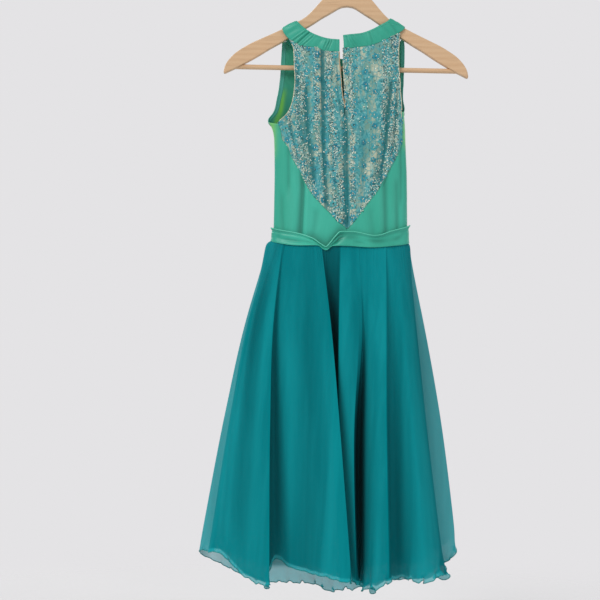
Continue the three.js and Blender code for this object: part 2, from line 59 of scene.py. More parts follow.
cam_data = bpy.data.cameras.new("camera")
cam_data.sensor_width = 36
cam_data.lens = 36 * DIST / (600 * SCALE)
cam_data.clip_start, cam_data.clip_end = 0.05, 60
cam = bpy.data.objects.new("camera", cam_data)
scene.collection.objects.link(cam)
c, s = math.cos(ROLL), math.sin(ROLL)
cam.matrix_world = Matrix(((c, -s, 0, XC / 1000), (0, 0, -1, -DIST / 1000), (s, c, 0, ZC / 1000), (0, 0, 0, 1)))
scene.camera = cam

# ------------------------------------------------------------------ curves (as in the solids)


def through(knots, vals, soft=False):
    """Smooth curve through rows; soft lets it swing past them as cloth does."""
    k, v = np.asarray(knots, float), np.asarray(vals, float)
    n = len(k)
    h = np.diff(k)
    d = np.diff(v) / h
    m = np.zeros(n)
    m[0], m[-1] = d[0], d[-1]
    for i in range(1, n - 1):
        a, b, h0, h1 = d[i - 1], d[i], h[i - 1], h[i]
        if soft:
            m[i] = (a * h1 + b * h0) / (h0 + h1)
        elif a * b > 0:
            m[i] = 3 * (h0 + h1) / ((2 * h1 + h0) / a + (h1 + 2 * h0) / b)

    def f(p):
        p = np.asarray(p, float)
        i = np.clip(np.searchsorted(k, p, side="left"), 1, n - 1)
        t = np.clip((p - k[i - 1]) / h[i - 1], 0, 1)
        return ((2 * t**3 - 3 * t**2 + 1) * v[i - 1] + (t**3 - 2 * t**2 + t) * h[i - 1] * m[i - 1]
                + (-2 * t**3 + 3 * t**2) * v[i] + (t**3 - t**2) * h[i - 1] * m[i])

    return f


def curve(pts, scale=(1, 1)):
    p = np.asarray(pts, float)
    step = np.maximum(np.linalg.norm(np.diff(p, axis=0) * np.asarray(scale[: p.shape[1]]), axis=1), 1e-6)
    k = np.concatenate([[0], np.cumsum(step)])
    fs = [through(k, p[:, j]) for j in range(p.shape[1])]
    return lambda q: [f(np.clip(q, 0, 1) * k[-1]) for f in fs]


def rows_at(rows, key):
    r = np.asarray(sorted(rows), float)
    return np.interp(key, r[:, 0], r[:, 1])


# ------------------------------------------------------------------ tables (mm, as in the solids)
ARM = [
    (0, -71, -112.2), (10, -72, -113.6), (22, -78.5, -120), (34, -89, -127.5), (46, -101, -134.5),
    (59, -116, -143.5), (75, -132.5, -153.5), (90, -141.6, -162.5), (105, -149.5, -171.5),
    (120, -157, -181), (140, -166.5, -192.5), (157, -174.4, -203.5), (172, -181.5, -212.5),
    (187, -190.3, -221), (200, -199, -228.2), (210, -208.4, -233), (217, -217.5, -236.4),
    (221.5, -226.5, -238.4), (223, -232.5, -237.6),
]
RING = [
  (-100, -150, 135, 12, 12), (-180, -150, 132, 15, 15), (-250, -149, 122, 18, 17),
  (-285, -146.5, 112, 20, 18.5), (-301.7, -144.5, 107, 21, 19), (-318, -141.5, 108.4, 21.8, 19.8),
  (-326, -139, 109.2, 22.3, 20.2), (-334, -133.6, 109.8, 22.8, 20.6), (-343, -130.1, 110.2, 23.2, 21),
  (-354, -128.1, 110.8, 23.6, 21.4), (-376, -126.7, 111.8, 24.4, 22), (-412, -125.7, 114, 25.4, 23),
  (-467, -125.5, 116, 26.8, 24.4), (-513, -125.6, 117.4, 27.8, 25.4), (-540, -126.2, 117.6, 28, 26),
  (-560, -127, 117.8, 28, 26),
]
POWER = 2.5
LIFT, ROUND = 3.2, 10.0
LEFT, RIGHT = -999.0, 999.0


def ridge(x):
    return rows_at([(r[0], r[1]) for r in ARM], np.abs(x)) + LIFT


def ring_at(z):
    return [rows_at([(r[0], r[i]) for r in RING], z) for i in (1, 2, 3, 4)]


def body(s_, z, side):
    xl, xr, db, df = ring_at(z)
    xc, w = (xl + xr) / 2, (xr - xl) / 2
    a = math.pi * np.clip(s_, -1, 1) / 2
    x = xc + w * np.sign(a) * np.abs(np.sin(a)) ** (2 / POWER)
    h = np.clip(ridge(x) - z, 0, ROUND) / ROUND
    turn = np.sqrt(np.maximum(0, 1 - (1 - h) ** 2))
    y = side * (db if side < 0 else df) * np.abs(np.cos(a)) ** (2 / POWER) * turn
    return np.stack([x, y, z + 0 * x], -1)


def across(x, z):
    xl, xr, _, _ = ring_at(z)
    X = np.clip((x - (xl + xr) / 2) / ((xr - xl) / 2), -1, 1)
    return np.sign(X) * (2 / math.pi) * np.arcsin(np.abs(X) ** (POWER / 2))


def to_s(row):
    x, z = row
    return [-1.0 if x == LEFT else 1.0 if x == RIGHT else float(across(x, z)), z]


def edge(rows):
    return curve([to_s(r) for r in rows], (130, 1))


def coons(top, bottom, left, right):
    p00, p10, p01, p11 = top(0.0), top(1.0), bottom(0.0), bottom(1.0)

    def f(u, v):
        t, b, l, r = top(u), bottom(u), left(v), right(v)
        return [(1 - v) * t[j] + v * b[j] + (1 - u) * l[j] + u * r[j]
                - ((1 - u) * (1 - v) * p00[j] + u * (1 - v) * p10[j] + (1 - u) * v * p01[j] + u * v * p11[j])
                for j in (0, 1)]

    return f


COLLAR_BL = dict(
    inner=[(-13.3, -174.1), (-28, -173.5), (-54.3, -167.1), (-72.7, -157.7), (-86, -147), (-93, float(ridge(-93)))],
    outer=[(-12.8, -196.2), (-29, -196.2), (-42, -195.4), (-50, -191), (-66, -189.1), (-83.3, -187.2), (-96.4, -180.4), (-108.6, -171.4), (-115.8, -161.8), (-118, float(ridge(-118)))],
)
COLLAR_BR = dict(
    inner=[(79.5, float(ridge(79.5))), (73.5, -138.4), (60.5, -146), (42.1, -156), (23.7, -162.2), (5.2, -164.4), (-7.1, -166.1)],
    outer=[(106, float(ridge(106))), (103.6, -152.6), (95.9, -158.5), (79.4, -168.2), (61.1, -177.1), (40.9, -184.4), (24.2, -187.1), (5.8, -189.5), (-5.3, -189.7)],
)
COLLAR_F = dict(
    inner=[(79.5, float(ridge(79.5))), (74, -146), (62, -166), (45, -186), (25, -200), (0, -205), (-25, -201), (-50, -188), (-72, -167), (-87, -149), (-93, float(ridge(-93)))],
    outer=[(106, float(ridge(106))), (104, -158), (92, -176), (76, -194), (54, -215), (28, -229), (0, -233), (-30, -230), (-62, -219), (-88, -200), (-104, -184), (-115, -166), (-118, float(ridge(-118)))],
)
SLIT_LEFT = [(-13, -196.8), (-11.5, -222.2), (-8, -258.3), (-5, -280), (-1.4, -298)]
SLIT_RIGHT = [(-6.5, -190.3), (-5.6, -222.2), (-3, -258.3), (-1.4, -280), (-0.2, -298)]
CENTRE = [(2.6, -339.6), (5.4, -430.1), (6.9, -512)]
V_LEFT = [(-121.9, -329.1), (-114.6, -354.9), (-104.5, -369.1), (-96.1, -388.9), (-78.1, -419.3), (-69.1, -438), (-59.3, -454.2), (-42.6, -472.8), (-16.7, -498.5), (1.7, -514.3)]
V_RIGHT = [(103.2, -304.5), (104.3, -353.9), (99.3, -374.8), (91.5, -391.3), (71.3, -430.6), (60.1, -450), (44.3, -471), (22.6, -500.4), (11.6, -515.1)]
ARMHOLE_BL = [(-106.3, -174.2), (-101.6, -181.6), (-96.7, -190.5), (-95.3, -204.1), (-94.1, -227.8), (-92.6, -249.5), (-93.5, -267.7), (-96.3, -287.8), (-100.9, -302.4), (-108.5, -314.4), (-119, -324.4)]
ARMHOLE_BR = [(96.6, -159), (95.4, -172.5), (95.6, -219.8), (97.3, -236.2), (99.3, -261.6), (102.2, -290)]
ARMHOLE_FL = [(-117.4, -170.5), (-118.8, -210), (-119.7, -237.5), (-121.3, -255.9), (-124.7, -278), (-129.5, -301.9), (LEFT, -326)]
ARMHOLE_FR = [(104.6, -161), (107.2, -205.3), (106.4, -251.1), (106, -278.6), (RIGHT, -301.7)]
BAND_FL = [(-110.9, -178.5), (-111, -210), (-111.9, -237.4), (-113.5, -255.7), (-117.2, -279.6), (-122.4, -303), (LEFT, -332.5)]
BAND_FR = [(98.8, -170.6), (101, -205), (100.3, -251), (100, -279), (RIGHT, -308.5)]
WAIST = [(-126, -538), (-79, -544), (-30, -548), (16, -546.4), (49, -545.6), (85, -542.6), (118, -536)]
WAIST_F = [(-126, -538), (-60, -540.4), (0, -541.4), (60, -540.4), (118, -536)]
BELT_TOP = [(LEFT, -518.6), (-121, -521), (-110, -523.6), (-79.4, -529), (-54.3, -537.2), (-39, -547.2), (-30.1, -551.6), (-23, -544.6), (-14, -533), (-3, -524), (12.6, -523.5), (56.6, -529.8), (88, -520.6), (106, -515), (114, -511.6), (RIGHT, -509)]
BELT_LOW = [(LEFT, -541.5), (-119, -545.2), (-79, -549.8), (-45.6, -549), (-30, -557.6), (-17.6, -549.6), (-3, -549), (49.3, -550.7), (88, -547.3), (RIGHT, -540.2)]
BELT_F_TOP = [(LEFT, -518.6), (-70, -521), (0, -522), (70, -518), (RIGHT, -509)]
BELT_F_LOW = [(LEFT, -541.5), (-70, -545), (0, -546), (70, -544), (RIGHT, -540.2)]
# name, x at the waist, x and y a quarter down, x and y past half way, x and y at the hem, level of the hem
FOLDS_BACK = [
  ("left seam", LEFT, -161, -10, -190, -14, -222, -14, -1108),
  ("left edge", -120, -166, -24, -195, -34, -230, -46, -1105),
  ("left crest", -115.5, -158, -38, -180, -60, -200, -84, -1104),
  ("left valley", -112, -148, -37, -161, -57, -169, -86, -1135),
  ("ridge side", -109.5, -135, -50, -138, -78, -140, -104, -1147),
  ("first ridge", -106.5, -122, -54, -123, -88, -118, -120, -1149),
  ("under first ridge", -103, -124, -42, -127, -64, -124, -84, -1152),
  ("first groove", -99.5, -117, -38, -117, -47, -110, -54, -1112),
  ("panel left", -82, -94, -51, -90, -70, -83, -66, -1125),
  ("panel valley", -62, -58, -46, -49, -62, -53, -72, -1132),
  ("panel crest", -48, -33, -54, -20, -82, -10, -104, -1137),
  ("centre left edge", -39, -18, -57, 1, -92, 27, -114, -1142),
  ("under centre left edge", -33, -23, -43, -5, -70, 18, -84, -1146),
  ("centre floor", -20, -11, -28, -10, -46, 10, -56, -1150),
  ("under centre right edge", -8, 1, -38, 1, -50, 20, -56, -1150),
  ("centre right edge", -5, -5, -51, -1, -62, 19, -70, -1149),
  ("second crest", 10, 15, -55, 14, -72, 28, -80, -1146),
  ("second edge", 24, 33, -48, 27, -75, 36, -86, -1147),
  ("under second edge", 31, 36, -44, 25, -58, 34, -64, -1150),
  ("second groove", 38, 41, -40, 36, -26, 43, -22, -1154),
  ("third slope", 46, 51, -50, 49, -62, 51, -74, -1158),
  ("third ridge", 62, 64, -56, 68, -84, 70, -112, -1153),
  ("third edge", 76, 80, -57, 83, -88, 92, -117, -1138),
  ("under third edge", 80, 79, -45, 81, -66, 90, -82, -1141),
  ("third groove", 86, 91, -38, 96, -46, 107, -48, -1144),
  ("bright ridge", 98, 113, -47, 134, -64, 160, -86, -1141),
  ("right flank", 106, 126, -39, 149, -50, 182, -68, -1135),
  ("right edge", 114, 136, -22, 158, -30, 196, -36, -1139),
  ("right seam", RIGHT, 133, -10, 155, -13, 192, -12, -1127),
]
FOLDS_FRONT = [
  ("right seam", RIGHT, 133, -10, 155, -13, 192, -12, -1127),
  ("outer right", 115, 149, 2, 183, 6, 222, 8, -1101),
  ("front right", 105, 143, 20, 172, 34, 209, 48, -1127),
  ("front ridge one", 76, 115, 36, 137, 50, 168, 66, -1161),
  ("front valley one", 36, 59, 26, 71, 34, 99, 38, -1163),
  ("front ridge two", -8, 0, 38, 7, 52, 0, 70, -1192),
  ("front valley two", -46, -54, 26, -46, 34, -38, 40, -1174),
  ("front ridge three", -86, -117, 38, -130, 52, -135, 70, -1176),
  ("front left", -113, -162, 20, -195, 34, -221, 46, -1138),
  ("outer left", -123, -171, 2, -207, 6, -252, 10, -1113),
  ("left seam", LEFT, -161, -10, -190, -14, -222, -14, -1108),
]
DOWN = [0, 0.25, 0.55, 1]
FLARE_L, FLARE_R = 11.5, 6.0

# ------------------------------------------------------------------ soft noise and creases


class Swell:
    """Smooth random waves, the same on every run."""

    def __init__(self, seed, n=7, low=0.6, high=1.7):
        r = np.random.default_rng(seed)
        self.k = r.uniform(low, high, (n, 2)) * np.where(r.random((n, 2)) < 0.5, -1, 1)
        self.p = r.uniform(0, 2 * math.pi, n)
        self.a = r.uniform(0.5, 1, n) / n

    def __call__(self, x, y):
        out = 0
        for (kx, ky), p, a in zip(self.k, self.p, self.a):
            out = out + a * np.sin(kx * x + ky * y + p)
        return out * 1.6


def window(t, a, b, soft):
    """1 between a and b, fading over soft on both sides."""
    lo, hi = min(a, b), max(a, b)
    f = lambda q: np.clip(q, 0, 1) ** 2 * (3 - 2 * np.clip(q, 0, 1))
    return f((t - lo) / soft + 1) * f((hi - t) / soft + 1)


def trough(x, z, path, width, depth, soft=14.0, lean=0.0):
    """A crease along path [(x, z), ...] running down the cloth: a groove with raised lips, steeper on one side."""
    p = sorted(path, key=lambda r: r[1])
    xp = np.interp(z, [r[1] for r in p], [r[0] for r in p])
    w = width * np.where(x > xp, 1 + lean, 1 - lean)
    q = (x - xp) / w
    return -depth * (0.6 * np.exp(-q * q) + 0.55 * np.exp(-((q / 2.6) ** 2)) - 0.4 * np.exp(-((np.abs(q) - 2.9) ** 2) / 2.0)) * window(z, p[0][1], p[-1][1], soft)


# ------------------------------------------------------------------ meshes


def normals(P):
    du = np.gradient(P, axis=1)
    dv = np.gradient(P, axis=0)
    n = np.cross(du, dv)
    return n / np.maximum(np.linalg.norm(n, axis=2, keepdims=True), 1e-9)


def make(name, verts, faces, mat, uv=None, smooth=True):
    me = bpy.data.meshes.new(name)
    me.from_pydata((np.asarray(verts) / 1000).tolist(), [], faces.tolist() if hasattr(faces, "tolist") else faces)
    me.update()
    if smooth:
        me.polygons.foreach_set("use_smooth", np.ones(len(me.polygons), bool))
    if uv is not None:
        layer = me.uv_layers.new(name="UVMap")
        idx = np.zeros(len(me.loops), int)
        me.loops.foreach_get("vertex_index", idx)
        layer.data.foreach_set("uv", np.asarray(uv, np.float32)[idx].ravel())
    if mat is not None:
        me.materials.append(mat)
    ob = bpy.data.objects.new(name, me)
    scene.collection.objects.link(ob)
    return ob


def paint(ob, name, values):
    a = ob.data.attributes.new(name, "FLOAT", "POINT")
    a.data.foreach_set("value", np.asarray(values, np.float32).ravel())


def grid_faces(nu, nv, off=0, flip=False):
    i, j = np.meshgrid(np.arange(nu), np.arange(nv))
    a = (j * (nu + 1) + i + off).ravel()
    q = np.stack([a, a + 1, a + nu + 2, a + nu + 1], 1)
    return q[:, ::-1] if flip else q


def shell(name, P, out, thick, mat, uv=None, masks=None, inside=()):
    """Closed thin wall on a grid of points P[v, u]. out is +1 where u x v points outwards."""
    nv, nu = P.shape[0] - 1, P.shape[1] - 1
    n = normals(P) * out
    A, B = P + n * thick / 2, P - n * thick / 2
    N = (nu + 1) * (nv + 1)
    faces = [grid_faces(nu, nv, 0, out < 0), grid_faces(nu, nv, N, out > 0)]
    ids = np.arange(N).reshape(nv + 1, nu + 1)
    rim = np.concatenate([ids[0, :], ids[1:, -1], ids[-1, -2::-1], ids[-2:0:-1, 0]])
    nxt = np.roll(rim, -1)
    q = np.stack([rim, rim + N, nxt + N, nxt], 1)
    faces.append(q if out > 0 else q[:, ::-1])
    verts = np.concatenate([A.reshape(-1, 3), B.reshape(-1, 3)])
    if uv is not None:
        uv = np.concatenate([uv.reshape(-1, 2)] * 2)
    ob = make(name, verts, np.concatenate(faces), mat, uv)
    for k, v in (masks or {}).items():
        paint(ob, k, np.concatenate([v.ravel() * (0 if k in inside else 1), v.ravel()]))
    return ob


def tube(name, path, radius, mat, m=8, closed=False):
    """Round cord along path[n, 3] mm. radius is one number or one per point."""
    p = np.asarray(path, float)
    n = len(p)
    t = np.gradient(p, axis=0)
    t /= np.maximum(np.linalg.norm(t, axis=1, keepdims=True), 1e-9)
    up = np.cross(t[0], [0.3, 0.5, 0.81])
    a = np.zeros((n, 3))
    for i in range(n):
        up = up - t[i] * np.dot(up, t[i])
        up /= max(np.linalg.norm(up), 1e-9)
        a[i] = up
    b = np.cross(t, a)
    r = np.broadcast_to(np.asarray(radius, float), (n,))
    ang = np.arange(m) * 2 * math.pi / m
    ring = p[:, None] + r[:, None, None] * (np.cos(ang)[None, :, None] * a[:, None] + np.sin(ang)[None, :, None] * b[:, None])
    verts = ring.reshape(-1, 3)
    faces = []
    for i in range(n - 1):
        for j in range(m):
            faces.append([i * m + j, i * m + (j + 1) % m, (i + 1) * m + (j + 1) % m, (i + 1) * m + j])
    faces.append(list(range(m))[::-1])
    faces.append([(n - 1) * m + j for j in range(m)])
    return make(name, verts, faces, mat)


def join(name, obs):
    for o in bpy.context.selected_objects:
        o.select_set(False)
    for o in obs:
        o.select_set(True)
    bpy.context.view_layer.objects.active = obs[0]
    bpy.ops.object.join()
    obs[0].name = name
    obs[0].data.name = name
    obs[0].select_set(False)
    return obs[0]


# ------------------------------------------------------------------ materials


def lin(*rgb):
    v = [q / 255 for q in rgb]
    return [((q + 0.055) / 1.055) ** 2.4 if q > 0.04045 else q / 12.92 for q in v] + [1.0]


class Mat:
    def __init__(self, name, rough=0.5, spec=0.3, metal=0.0, sheen=0.0, sheen_tint=None, coat=0.0, aniso=0.0):
        self.m = bpy.data.materials.new(name)
        self.m.use_nodes = True
        self.t = self.m.node_tree
        self.t.nodes.clear()
        self.out = self.t.nodes.new("ShaderNodeOutputMaterial")
        self.b = self.t.nodes.new("ShaderNodeBsdfPrincipled")
        self.t.links.new(self.b.outputs[0], self.out.inputs[0])
        i = self.b.inputs
        i["Roughness"].default_value = rough
        i["Specular IOR Level"].default_value = spec
        i["Metallic"].default_value = metal
        i["Sheen Weight"].default_value = sheen
        i["Sheen Roughness"].default_value = 0.4
        if sheen_tint:
            i["Sheen Tint"].default_value = sheen_tint
        i["Coat Weight"].default_value = coat
        i["Anisotropic"].default_value = aniso
        self.co = self.t.nodes.new("ShaderNodeTexCoord").outputs["Object"]

    def node(self, kind, **k):
        n = self.t.nodes.new(kind)
        for a, v in k.items():
            setattr(n, a, v)
        return n

    def link(self, a, b):
        self.t.links.new(a, b)

    def scaled(self, x, y, z, src=None):
        n = self.node("ShaderNodeMapping")
        n.inputs["Scale"].default_value = (x, y, z)
        self.link(src or self.co, n.inputs["Vector"])
        return n.outputs[0]

    def noise(self, scale, detail=3, vec=None, rough=0.55, distort=0.0):
        n = self.node("ShaderNodeTexNoise")
        n.inputs["Scale"].default_value = scale
        n.inputs["Detail"].default_value = detail
        n.inputs["Roughness"].default_value = rough
        n.inputs["Distortion"].default_value = distort
        self.link(vec or self.co, n.inputs["Vector"])
        return n.outputs["Fac"]

    def voronoi(self, scale, vec=None, feature="F1", out="Distance", rnd=1.0):
        n = self.node("ShaderNodeTexVoronoi", feature=feature)
        n.inputs["Scale"].default_value = scale
        n.inputs["Randomness"].default_value = rnd
        self.link(vec or self.co, n.inputs["Vector"])
        return n.outputs[out]

    def wave(self, scale, vec=None, direction="X", distort=0.0, profile="SIN"):
        n = self.node("ShaderNodeTexWave", bands_direction=direction, wave_profile=profile)
        n.inputs["Scale"].default_value = scale
        n.inputs["Distortion"].default_value = distort
        self.link(vec or self.co, n.inputs["Vector"])
        return n.outputs["Fac"]

    def ramp(self, fac, stops, mode="LINEAR"):
        n = self.node("ShaderNodeValToRGB")
        n.color_ramp.interpolation = mode
        e = n.color_ramp.elements
        while len(e) < len(stops):
            e.new(0.5)
        for el, (p, col) in zip(e, stops):
            el.position = p
            el.color = col if hasattr(col, "__len__") else (col, col, col, 1)
        self.link(fac, n.inputs["Fac"])
        return n.outputs["Color"]

    def mix(self, fac, a, b, blend="MIX"):
        n = self.node("ShaderNodeMix", data_type="RGBA", blend_type=blend)
        for sock, v in ((n.inputs["Factor"], fac), (n.inputs["A"], a), (n.inputs["B"], b)):
            if hasattr(v, "links"):
                self.link(v, sock)
            else:
                sock.default_value = v
        # the colour sockets are the last two named A and B
        cols = [q for q in n.inputs if q.type == "RGBA"]
        for sock, v in ((cols[0], a), (cols[1], b)):
            if hasattr(v, "links"):
                self.link(v, sock)
            else:
                sock.default_value = v
        return [q for q in n.outputs if q.type == "RGBA"][0]

    def math(self, op, a, b=0.0, clamp=False):
        n = self.node("ShaderNodeMath", operation=op, use_clamp=clamp)
        for sock, v in ((n.inputs[0], a), (n.inputs[1], b)):
            if hasattr(v, "links"):
                self.link(v, sock)
            else:
                sock.default_value = v
        return n.outputs[0]

    def span(self, v, a, b, c_=0.0, d=1.0):
        n = self.node("ShaderNodeMapRange", interpolation_type="SMOOTHSTEP")
        for name, q in (("From Min", a), ("From Max", b), ("To Min", c_), ("To Max", d)):
            n.inputs[name].default_value = q
        self.link(v, n.inputs["Value"])
        return n.outputs["Result"]

    def attr(self, name):
        return self.node("ShaderNodeAttribute", attribute_name=name).outputs["Fac"]

    def color(self, sock):
        if hasattr(sock, "links"):
            self.link(sock, self.b.inputs["Base Color"])
        else:
            self.b.inputs["Base Color"].default_value = sock

    def bump(self, height, strength=0.3, dist=0.0004):
        n = self.node("ShaderNodeBump")
        n.inputs["Strength"].default_value = strength
        n.inputs["Distance"].default_value = dist
        self.link(height, n.inputs["Height"])
        self.link(n.outputs[0], self.b.inputs["Normal"])


def weave(m, strength=0.25, pitch=0.0006):
    """Fine over-and-under threads."""
    k = math.pi / pitch / 10
    a, b = m.wave(k, direction="X"), m.wave(k, direction="Z")
    return m.math("MULTIPLY", a, b)


def satin(name, main, deep, lime=None, rough=0.36, spec=0.35, sheen=0.25):
    m = Mat(name, rough=rough, spec=spec, sheen=sheen, sheen_tint=lin(200, 240, 225), aniso=0.35)
    stain = m.noise(9, 3, m.scaled(1, 1, 0.35))
    fine = m.noise(420, 2, m.scaled(1, 1, 0.12))
    col = m.mix(m.span(stain, 0.32, 0.7), lin(*deep), lin(*main))
    col = m.mix(m.math("MULTIPLY", fine, 0.16), col, lin(*[min(255, q + 28) for q in main]))
    if lime:
        col = m.mix(m.attr("lime"), col, lin(*lime))
    # painted shade: the satin is darkened towards a deeper green where it lies in a crease
    shade_in_crease = m.span(m.attr("crease_shade"), 0.0, 1.0, 0.0, 0.62)
    col = m.mix(shade_in_crease, col, lin(*[q * 0.62 for q in deep]))
    m.color(col)
    h = m.math("ADD", m.math("MULTIPLY", weave(m), 0.35), m.math("MULTIPLY", m.noise(240, 2, m.scaled(1, 1, 0.2)), 0.65))
    m.bump(h, 0.22, 0.0003)
    return m.m


M_COLLAR = satin("collar_satin", (62, 180, 154), (44, 160, 134), rough=0.36, sheen=0.08)
M_SATIN = satin("side_satin", (68, 190, 166), (50, 170, 144), lime=(132, 212, 122), sheen=0.08)
M_FRONT = satin("front_satin", (58, 164, 134), (38, 136, 106), lime=(112, 196, 80), rough=0.42, sheen=0.08)
M_BAND = satin("binding_satin", (78, 176, 156), (50, 148, 130), rough=0.4, sheen=0.08)
M_SASH = satin("sash_satin", (66, 192, 166), (44, 162, 138), rough=0.34, spec=0.35, sheen=0.08)
# painted highlight: a lighter copy of the sash satin, for the rolled top edge of the back sash
M_SASH_EDGE_HIGHLIGHT = satin("sash_edge_highlight_satin", (104, 214, 188), (84, 196, 168), rough=0.34, spec=0.35, sheen=0.08)


def chiffon(name, alpha_main, alpha_hem, dark, light, hem_col, alpha_thin=None):
    m = Mat(name, rough=0.85, spec=0.03, sheen=0.05, sheen_tint=lin(20, 150, 160))
    streak = m.noise(30, 4, m.scaled(1, 1, 0.05))
    broad = m.noise(5, 2, m.scaled(1, 1, 0.25))
    col = m.mix(m.span(streak, 0.3, 0.72), lin(*dark), lin(*light))
    col = m.mix(m.span(broad, 0.35, 0.7, 0.0, 0.35), col, lin(*[q * 0.88 for q in dark]))
    # painted light: the front cloth keeps its lighter colours where it is one layer at the sides, and where it is
    # doubled it is taken most of the way to a deeper teal
    if alpha_thin is not None:
        col = m.mix(m.span(m.attr("thin"), 0.0, 1.0, 0.75, 0.0), col, lin(4, 134, 142))
    # painted light: the hem band, where the cloth is one layer, gets a lighter teal standing in for light coming
    # through it
    hem = m.attr("hem")
    col = m.mix(m.math("MULTIPLY", hem, 0.85), col, lin(*hem_col))
    # painted shade: darker teal deep in the skirt's folds, from the deep mask
    col = m.mix(m.math("MULTIPLY", m.attr("deep"), 0.96), col, lin(0, 34, 40))
    m.color(col)
    a = m.span(hem, 0.0, 1.0, alpha_main, alpha_hem)
    if alpha_thin is not None:             # at the sides the cloth is one layer all the way up
        a = m.math("SUBTRACT", a, m.math("MULTIPLY", m.attr("thin"), alpha_main - alpha_thin))
    grain = m.noise(1100, 1)
    a = m.math("ADD", a, m.math("MULTIPLY", m.math("SUBTRACT", grain, 0.5), 0.06), clamp=True)
    m.link(a, m.b.inputs["Alpha"])
    m.bump(m.math("ADD", m.math("MULTIPLY", weave(m, pitch=0.0008), 0.5), m.noise(600, 2)), 0.10, 0.0002)
    return m.m


# chiffon_front is the same cloth as chiffon_back in lighter colours: painted light that lifts the front skirt, which
# lies in the shade of the back skirt
M_CHIFFON_B = chiffon("chiffon_back", 0.97, 0.80, (3, 129, 137), (15, 149, 157), (34, 176, 184))
M_CHIFFON_F = chiffon("chiffon_front", 0.93, 0.77, (46, 160, 168), (58, 176, 184), (14, 196, 208), alpha_thin=0.80)

m = Mat("hem_thread", rough=0.6, spec=0.2, sheen=0.2)
m.color(m.mix(m.wave(260, direction="DIAGONAL"), lin(0, 116, 118), lin(16, 160, 162)))
m.bump(m.wave(260, direction="DIAGONAL"), 0.4, 0.0002)
M_HEM = m.m

m = Mat("lace_net", rough=0.6, spec=0.2, sheen=0.1, sheen_tint=lin(240, 235, 220))
mesh_ = m.voronoi(520, rnd=0.4, feature="DISTANCE_TO_EDGE")
cream = m.mix(m.span(m.noise(34, 4, m.scaled(1, 0.3, 0.4)), 0.42, 0.62), lin(126, 170, 158), lin(222, 222, 194))
cream = m.mix(m.span(mesh_, 0.05, 0.3, 0.35, 0.0), cream, lin(100, 148, 136))
# twining ground of aqua thread between the flowers, thinner along upright bands
warp = m.scaled(1, 0.3, 0.72)
twine = m.voronoi(120, warp, rnd=0.95, feature="DISTANCE_TO_EDGE")
twine_m = m.span(twine, 0.03, 0.13, 1.0, 0.0)
bands = m.noise(95, 3, m.scaled(1, 0.2, 0.10))
cover = m.math("ADD", m.noise(50, 4, m.scaled(1, 0.3, 0.6), distort=0.6), m.math("MULTIPLY", m.math("SUBTRACT", bands, 0.5), 1.1))
patch = m.span(cover, 0.44, 0.54)
aqua = m.ramp(m.voronoi(330, out="Color"), [(0.0, lin(34, 124, 132)), (0.35, lin(62, 156, 164)), (0.7, lin(92, 178, 184)), (1.0, lin(160, 202, 192))])
both = m.math("MAXIMUM", m.math("MULTIPLY", twine_m, 0.75), patch)
col = m.mix(m.math("MULTIPLY", both, 0.9), cream, aqua)
# painted shade: the lace is darkened to a deep teal where it lies in a crease
shade_in_crease = m.span(m.attr("crease_shade"), 0.0, 1.0, 0.0, 0.85)
col = m.mix(shade_in_crease, col, lin(22, 112, 116))
m.color(col)
m.bump(m.math("ADD", both, m.math("MULTIPLY", m.voronoi(330, out="Distance"), 0.8)), 0.5, 0.0006)
M_NET = m.m

m = Mat("lace_petal", rough=0.5, spec=0.3, sheen=0.1, sheen_tint=lin(190, 235, 235))
tone = m.attr("tone")
col = m.ramp(tone, [(0.0, lin(30, 136, 160)), (0.35, lin(66, 170, 186)), (0.7, lin(84, 184, 186)), (1.0, lin(146, 204, 190))])
col = m.mix(m.span(m.wave(900, m.scaled(1, 0.4, 1), direction="DIAGONAL", distort=2.0), 0.2, 0.9, 0.0, 0.25), col, lin(30, 122, 136))
# painted shade: petals lying in a crease are darkened to a deep teal
col = m.mix(m.math("MULTIPLY", m.attr("crease_shade"), 0.85), col, lin(22, 112, 118))
m.color(col)
m.bump(m.wave(900, m.scaled(1, 0.4, 1), direction="DIAGONAL", distort=2.0), 0.4, 0.0003)
M_PETAL = m.m

m = Mat("lace_sequin", rough=0.3, spec=0.9)
# sequin tone is random per sequin: the teal and aqua are the sequins' own colour, and the near-white share is painted
# glint standing in for sequins catching the light
m.color(m.ramp(m.attr("tone"), [(0.0, lin(2, 68, 72)), (0.41, lin(14, 104, 106)), (0.46, lin(78, 168, 178)), (0.55, lin(202, 222, 204)), (1.0, lin(244, 246, 228))]))
m.bump(m.noise(900, 1), 0.1, 0.0001)
M_SEQUIN = m.m

m = Mat("facing_tape", rough=0.7, spec=0.2)
m.color(m.mix(m.noise(300, 2), lin(176, 152, 122), lin(206, 184, 152)))
m.bump(m.noise(700, 1), 0.2, 0.0002)
M_FACING = m.m

m = Mat("cream_thread", rough=0.6, spec=0.2, sheen=0.3)
m.color(m.mix(m.wave(300, direction="DIAGONAL"), lin(206, 198, 168), lin(238, 232, 208)))
m.bump(m.wave(300, direction="DIAGONAL"), 0.5, 0.0003)
M_CREAM = m.m

m = Mat("green_thread", rough=0.5, spec=0.3, sheen=0.2)
m.color(m.mix(m.wave(400, direction="DIAGONAL"), lin(40, 134, 110), lin(86, 182, 156)))
m.bump(m.wave(400, direction="DIAGONAL"), 0.4, 0.0002)
M_THREAD = m.m

